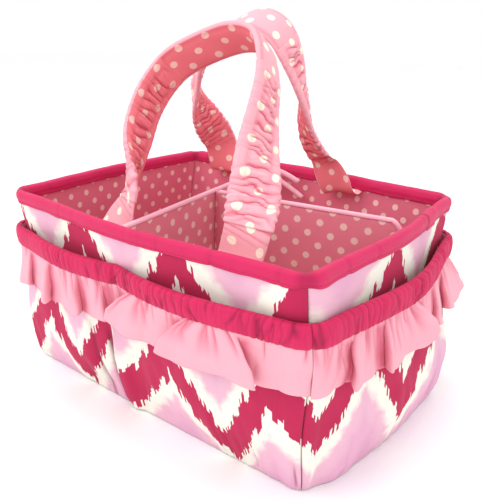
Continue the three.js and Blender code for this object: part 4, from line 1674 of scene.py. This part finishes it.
class SmoothPath:
    """A centripetal Catmull-Rom curve through points, placed by distance along it."""

    def __init__(self, points: list[Array], steps: int = 60) -> None:
        """Samples the curve.

        Args:
            points: the points that it passes through.
            steps: samples between two points.
        """
        given = np.array([2 * points[0] - points[1], *points, 2 * points[-1] - points[-2]])
        line = []
        for p0, p1, p2, p3 in zip(given[:-3], given[1:-2], given[2:-1], given[3:]):
            pairs = ((p0, p1), (p1, p2), (p2, p3))
            a, b, c = (max(float(np.linalg.norm(q - p)) ** 0.5, 1e-4) for p, q in pairs)
            m1 = ((p1 - p0) / a - (p2 - p0) / (a + b) + (p2 - p1) / b) * b
            m2 = ((p2 - p1) / b - (p3 - p1) / (b + c) + (p3 - p2) / c) * b
            s = np.linspace(0, 1, steps + 1)[:-1, None]
            line.append(
                (2 * s**3 - 3 * s**2 + 1) * p1 + (s**3 - 2 * s**2 + s) * m1
                + (3 * s**2 - 2 * s**3) * p2 + (s**3 - s**2) * m2
            )
        self.line = np.concatenate([*line, given[-2:-1]])
        self.run = run_along(self.line)
        self.length = float(self.run[-1])

    def at(self, distance: Array) -> tuple[Array, Array]:
        """Follows the curve.

        Args:
            distance: distances along it; past its ends it goes straight on.

        Returns:
            The points there and the directions.
        """
        inside = np.clip(distance, 0, self.length)
        point = np.stack([np.interp(inside, self.run, self.line[:, k]) for k in range(3)], -1)
        ahead = np.gradient(self.line, self.run, axis=0)
        heading = np.stack([np.interp(inside, self.run, ahead[:, k]) for k in range(3)], -1)
        heading /= np.linalg.norm(heading, axis=1, keepdims=True)
        return point + heading * (distance - inside)[:, None], heading


@dataclass
class Handle:
    """A strap handle: two flat feet sewn to the rim, two ruched legs and a padded grip."""

    name: str
    # -1 on the front wall and 1 on the back wall
    facing: int
    # How far the handle leans in over the box, in degrees
    lean: float
    foot_length: float
    # How far from its left and its right end the strap has turned to stand across the handle's plane
    twists: tuple
    # Points of the strap's centre line in the leaning plane: place along the box and way up from the hinge
    arch: tuple
    # Places of the left and the right foot along the box
    feet: tuple
    form: BoxForm
    palette: Palette
    stitching: Stitching
    hinge_inset: float = 117
    hinge_height: float = 170
    strap_cloth: float = 0.8
    strap_width: float = 34
    foot_width: float = 36
    foot_height: float = 167.8
    foot_knee: float = 11
    foot_gap: float = 0.7
    leg_length: float = 118
    # The left leg may turn further over, in degrees, about a place and over a reach along the strap
    left_overturn: float = 0
    overturn_place: float = 125
    overturn_reach: float = 65
    half_leg: float = 2.3
    half_grip: float = 3.1
    half_foot: float = 0.95
    # Shares of the half width where the rows of stitching lie beside the elastic and at the grip's edges
    leg_seam: float = 0.55
    grip_seam: float = 0.86
    # Height and pitch of a leg's coarse folds and of its fine ones
    coarse_folds: tuple = (2.9, 6.6)
    fine_folds: tuple = (0.5, 3.1)
    foot_fold_pitch: float = 5
    # Where the feet begin and stop to bend: way out from the hinge's line, and way up from it
    bend_start: tuple = (1, -2)
    bend_finish: tuple = (-9, 14)
    path: SmoothPath = field(init=False)

    def route(self) -> SmoothPath:
        """Lays the strap's centre line from foot to foot.

        Returns:
            The line.
        """
        lean = math.radians(self.lean)
        inward = -self.facing

        def on_plane(u: float, v: float) -> Array:
            """Returns a point of the handle's leaning plane."""
            y = self.facing * self.hinge_inset + inward * v * math.sin(lean)
            return np.array([u, y, self.hinge_height + v * math.cos(lean)])

        def on_wall(x: float, inset: float) -> Array:
            """Returns a point of a foot at the wall."""
            edges = (x - self.foot_width / 2, x + self.foot_width / 2)
            clear = min(self.form.clear_half_width(self.foot_height, edge) for edge in edges)
            return np.array([x, self.facing * (clear - self.foot_gap - inset), self.foot_height])

        left, right = self.feet
        return SmoothPath([
            on_wall(left, 0), on_wall(left, self.foot_knee), *[on_plane(u, v) for u, v in self.arch],
            on_wall(right, self.foot_knee), on_wall(right, 0),
        ])

    def frames(self, distance: Array) -> tuple[Array, Array, Array]:
        """Works out how the strap lies.

        Args:
            distance: places along it.

        Returns:
            The strap's centre, its width direction and its outward direction at each place.
        """
        centre, heading = self.path.at(distance)
        lean = math.radians(self.lean)
        across = np.array([0, -math.cos(lean), -self.facing * math.sin(lean)])
        on_left = distance < self.path.length / 2
        from_foot = np.where(on_left, distance, self.path.length - distance)
        beyond = np.minimum(1, np.abs(from_foot - self.overturn_place) / self.overturn_reach)
        overturn = math.radians(self.left_overturn) * on_left * np.cos(beyond * np.pi / 2) ** 2
        turned = rise(from_foot / np.where(on_left, *self.twists), 0, 1) * np.pi / 2 + overturn
        foot_side = np.where(on_left, -self.facing, self.facing)
        width = np.sin(turned)[:, None] * across
        width[:, 0] += foot_side * np.cos(turned)
        width -= heading * (width * heading).sum(1, keepdims=True)
        width /= np.linalg.norm(width, axis=1, keepdims=True)
        return centre, width, np.cross(width, heading)

    def tube(self, name: str, distance: Array, half_width: Array, faces: tuple) -> Piece:
        """Makes a flat tube of strap cloth.

        Args:
            name: the piece's name.
            distance: places along the strap, one for each ring.
            half_width: half the strap's width at each ring.
            faces: places across, then half thickness of the outer and inner face and the painted crease shade
                of each, rings by places across.

        Returns:
            The piece: the outer face in the light cloth and the inner one in the darker.
        """
        across, outer, inner, outer_shade, inner_shade = faces
        centre, width, out = (part[:, None] for part in self.frames(distance))
        reach = (half_width[:, None] * across)[..., None] * width
        top = centre + reach + out * outer[..., None]
        back = centre + reach - out * inner[..., None]
        points = np.concatenate([top, back[:, -2:0:-1]], 1)
        shade_depth = np.concatenate([outer_shade, inner_shade[:, -2:0:-1]], 1)
        there = np.concatenate([across, 2 - across[-2:0:-1], [3.0]]) * self.strap_width / 2
        flat = flat_map(distance[:, None], there)
        # The darker cloth starts a little inside the inner face's edges
        on_back = np.concatenate([np.zeros(len(across) - 1, bool), np.abs(across[:0:-1]) < 0.93])
        cloths = [self.palette[Finish.STRAP], self.palette[Finish.STRAP_BACK]]
        return cloth_piece(
            name, points[:, ::-1], flat[:, ::-1], cloths, self.strap_cloth, around=True,
            second=on_back[::-1], shade_depth=shade_depth[:, ::-1],
        )

    def sew_along(self, distance: Array, half_width: Array, across: float, stand: Array) -> None:
        """Sews a row of stitches along the strap.

        Args:
            distance: places along the strap.
            half_width: half the strap's width there.
            across: the row's place across the strap, from -1 to 1.
            stand: how far out of the strap's middle it lies, negative on the inner face.
        """
        centre, width, out = self.frames(distance)
        self.stitching.sew(self.name, centre + width * (half_width * across)[:, None] + out * stand[:, None])

    def shares(self, count: int = 15) -> Array:
        """Returns places across the strap from -1 to 1, closer together at its edges."""
        return np.sin(np.linspace(-np.pi / 2, np.pi / 2, count))

    def build(self) -> None:
        """Builds the strap's pieces."""
        self.path = self.route()
        end = self.path.length
        leg_end = self.foot_length + self.leg_length
        self.foot("left", np.linspace(0, self.foot_length + 1.0, 40))
        self.foot("right", np.linspace(end - self.foot_length - 1.0, end, 40))
        self.leg("left", np.arange(self.foot_length, leg_end + 1.0, 0.9), 1)
        self.leg("right", np.arange(end - leg_end - 1.0, end - self.foot_length, 0.9), 2)
        self.grip(np.arange(leg_end - 0.2, end - leg_end + 0.3, 1.4))

    def foot(self, side: str, distance: Array) -> None:
        """Makes a flat end of the strap, flared towards the wall.

        Args:
            side: "left" or "right".
            distance: places along the strap.
        """
        across = self.shares(17)
        along = distance[:, None]
        from_foot = np.minimum(distance, self.path.length - distance)
        half = (self.foot_width + (self.strap_width - self.foot_width) * from_foot / self.foot_length) / 2
        flat = self.half_foot * (1 - np.abs(across) ** 8)[None]
        near_leg = rise(from_foot, self.foot_length - 16, self.foot_length)[:, None]
        folds = gathers(along + 3 * across, self.foot_fold_pitch, 500)
        soft = 0.7 * near_leg * folds + 0.3 * crumple(along, across * 17, 501, 22)
        thick = flat * (1 + 0.9 * near_leg + soft)
        # Painted shade in the folds near the leg
        shade_depth = 0.8 * near_leg * bell(folds, 0.25)
        shape = (across, thick, thick, shade_depth, shade_depth)
        piece = self.tube(f"{self.name}_{side}_foot_cloth", distance, half, shape)
        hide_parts(f"{self.name}_{side}_foot")
        piece.modifiers.remove(piece.modifiers["thickness"])
        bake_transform(piece)
        LOG.info("%s: %d faces", piece.name, len(piece.data.polygons))

    def leg(self, side: str, distance: Array, seed: int) -> None:
        """Makes a sleeve ruched by the elastic in it: cross folds between two rows of stitching.

        Args:
            side: "left" or "right".
            distance: places along the strap.
            seed: picks one set of folds.
        """
        across = self.shares(25)
        along = distance[:, None]
        from_foot = np.minimum(along, self.path.length - along)
        calm = rise(from_foot, self.foot_length - 1, self.foot_length + 8)
        calm = calm * rise(self.foot_length + self.leg_length - from_foot, -1, 8)
        seed = seed * 10 + 600 + self.facing
        low = 1 - rise(from_foot, self.foot_length + 12, self.foot_length + 55)
        channel = np.exp(-((across / 0.56) ** 6))
        strong = (0.16 + 0.84 * channel) * (1 - low) + (0.62 + 0.38 * channel) * low
        thick = np.sqrt(np.clip(1 - np.abs(across) ** 6, 0, 1))
        seams = (-self.leg_seam, self.leg_seam)
        groove = sum(bell(across - s, 0.06) for s in seams) * (1 - 0.6 * low)
        (coarse_height, coarse_pitch), (fine_height, fine_pitch) = self.coarse_folds, self.fine_folds
        faces, shade_depths = [], []
        for k in range(2):
            lean = 1.3 * np.sin(across * 2.4 + k) + 2.6 * crumple(along, 17 * across, seed + 7 + k, 15)
            coarse = gathers(along + lean, coarse_pitch, seed + k, 0.7)
            fine = gathers(along - 0.6 * lean, fine_pitch, seed + 5 + k)
            folds = (coarse_height * (coarse - 0.35) + fine_height * fine) * strong
            faces.append(np.maximum((self.half_leg + (folds - 1.3 * groove) * calm) * thick, 0.0))
            # Painted shade in the ruching's valleys and along the stitched grooves
            valley = bell(coarse, 0.36) + 0.3 * bell(fine, 0.3)
            shade_depths.append(np.maximum(valley * strong, 0.6 * groove) * calm)
        scallop = (0.5 + 1.5 * low[:, 0]) * (gathers(distance, coarse_pitch, seed + 9) - 0.6) * calm[:, 0]
        half = self.strap_width / 2 + scallop
        piece = self.tube(f"{self.name}_{side}_leg_sleeve", distance, half, (across, *faces, *shade_depths))
        dress(piece, self.name, "strap_cloth", f"{self.name}_{side}_leg")
        for s in seams:
            k = int(np.argmin(np.abs(across - s)))
            self.sew_along(distance, half, across[k], faces[0][:, k] + 0.15)

    def grip(self, distance: Array) -> None:
        """Makes the padded stretch between the legs, plump in its middle and pressed flat at its seams.

        Args:
            distance: places along the strap.
        """
        across = self.shares(21)
        from_end = np.minimum(distance - distance[0], distance[-1] - distance)[:, None]
        plump = 0.62 + 0.38 * rise(from_end, 0, 16)
        shape = np.sqrt(np.clip(1 - np.abs(across) ** 3.2, 0, 1))[None] * plump * self.half_grip
        seams = (-self.grip_seam, self.grip_seam)
        groove = sum(bell(across - s, 0.06) for s in seams)
        faces = []
        for k in range(2):
            soft = 0.11 * crumple(distance[:, None], across * 17, 700 + k + self.facing, 24)
            faces.append(np.maximum(shape * (1 + soft) - 0.35 * groove * (shape > 0.6), 0.0))
        half = self.strap_width / 2 + 0.25 * crumple(distance, 0 * distance, 710, 30)
        # Painted shade along the stitched grooves
        shade_depth = np.broadcast_to(0.5 * groove, faces[0].shape)
        piece = self.tube(f"{self.name}_padded_grip", distance, half, (across, *faces, shade_depth, shade_depth))
        dress(piece, self.name, "strap_cloth", f"{self.name}_grip")
        for face, sign in zip(faces, (1, -1)):
            for s in seams:
                k = int(np.argmin(np.abs(across - s)))
                self.sew_along(distance, half, across[k], sign * (face[:, k] + 0.12))
        centre, width, out = self.frames(distance)
        for ring in (2, -3):
            line = [centre[ring] + width[ring] * half[ring] * a + out[ring] * (faces[0][ring, k] + 0.15)
                    for k, a in enumerate(across) if abs(a) < 0.97]
            self.stitching.sew(self.name, np.array(line))


# The studio


@dataclass
class Studio:
    """The camera at the photograph's viewing angle, the floor and the lights."""

    width: int = 482
    height: int = 500
    focal: float = 591.5
    axis_x: float = 212.8
    axis_y: float = 257.8
    eye: tuple = (300.0, -400.3, 311.0)
    azimuth: float = 38.77
    elevation: float = 21.12
    roll: float = 0.98

    def build(self) -> None:
        """Builds the camera, floor and lights."""
        self.camera()
        self.floor()
        self.lights()

    def camera(self) -> None:
        """The camera."""
        az, el, roll = (math.radians(a) for a in (self.azimuth, self.elevation, self.roll))
        back = Vector((math.sin(az) * math.cos(el), -math.cos(az) * math.cos(el), math.sin(el)))
        right = (-back).cross(Vector((0, 0, 1))).normalized()
        up = right.cross(-back)
        across = right * math.cos(roll) + up * math.sin(roll)
        above = -right * math.sin(roll) + up * math.cos(roll)
        data = bpy.data.cameras.new("camera")
        data.sensor_fit = "HORIZONTAL"
        data.sensor_width = 36
        data.lens = self.focal / self.width * data.sensor_width
        data.shift_x = (self.width / 2 - self.axis_x) / self.width
        data.shift_y = (self.axis_y - self.height / 2) / self.width
        data.clip_start = 0.01
        data.clip_end = 20
        camera = put_in_scene("camera", data)
        turn = Matrix((across, above, back)).transposed().to_4x4()
        camera.matrix_world = Matrix.Translation(Vector(self.eye) * MM) @ turn
        bpy.context.scene.camera = camera

    def floor(self) -> None:
        """The plain pale floor."""
        mesh = bpy.data.meshes.new("floor")
        size = 6.0
        corners = [(-size, -size, 0), (size, -size, 0), (size, size, 0), (-size, size, 0)]
        mesh.from_pydata(corners, [], [(0, 1, 2, 3)])
        material = bpy.data.materials.new("pale_paper")
        material.use_nodes = True
        shader = material.node_tree.nodes["Principled BSDF"]
        shader.inputs["Base Color"].default_value = linear("#fefefe")
        shader.inputs["Roughness"].default_value = 0.95
        shader.inputs["Specular IOR Level"].default_value = 0.1
        mesh.materials.append(material)
        floor = put_in_scene("floor", mesh)

    def lights(self) -> None:
        """Plain soft light: a bright room and three soft lamps."""
        world = bpy.data.worlds.new("room")
        world.use_nodes = True
        world.node_tree.nodes["Background"].inputs[0].default_value = linear("#ffffff")
        world.node_tree.nodes["Background"].inputs[1].default_value = 1.0
        bpy.context.scene.world = world
        for name, place, size, power in (
            ("key", (-0.9, -1.3, 1.5), 1.2, 13.5),
            ("fill", (1.7, -0.7, 1.1), 1.2, 4.5),
            ("top", (0.0, 0.1, 1.7), 0.7, 6.5),
        ):
            data = bpy.data.lights.new(name, "AREA")
            data.size = size
            data.energy = power
            lamp = put_in_scene(name, data)
            lamp.location = place
            lamp.rotation_euler = (Vector((0, 0, 0.12)) - Vector(place)).to_track_quat("-Z", "Y").to_euler()
        bpy.context.scene.view_settings.view_transform = "Standard"


def finish_inner_pieces(palette: Palette) -> None:
    """Gives the solids that stay, inside their covers, their materials.

    Args:
        palette: the materials.
    """
    inside = (("_board", Finish.BOARD), ("_elastic", Finish.ELASTIC), ("_padding", Finish.WADDING))
    for name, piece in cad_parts.items():
        for ending, finish in inside:
            if name.endswith(ending):
                piece.data.materials.clear()
                piece.data.materials.append(palette[finish])


def main() -> None:
    """Builds the caddy and the scene round it."""
    logging.basicConfig(level=logging.INFO, format="%(name)s: %(message)s")
    palette = Palette()
    stitching = Stitching(palette)
    form = BoxForm()
    Studio().build()
    finish_inner_pieces(palette)
    BoxShell(form, palette, stitching).build()
    PocketTrim(form, palette, stitching).build()
    DividerInsert(form, palette, stitching).build()
    Handle(
        "front_handle", -1, 37, 36, (100, 150),
        ((-24, 29), (-32, 48), (-42, 74), (-48, 110), (-39, 141), (-18, 158), (12, 170),
         (34, 166), (52, 142), (63, 110), (72, 80), (82, 52), (88, 28)),
        (-30, 84), form, palette, stitching,
    ).build()
    Handle(
        "back_handle", 1, 27, 50, (100, 190),
        ((-96, 30), (-104, 55), (-109, 80), (-103, 104), (-86, 126), (-48, 155), (-12, 168),
         (9, 157), (18, 130), (20, 97), (17, 64), (20, 42), (28, 26)),
        (-91, 46), form, palette, stitching, left_overturn=45,
    ).build()
    stitching.build()


if __name__ == "__main__":
    main()
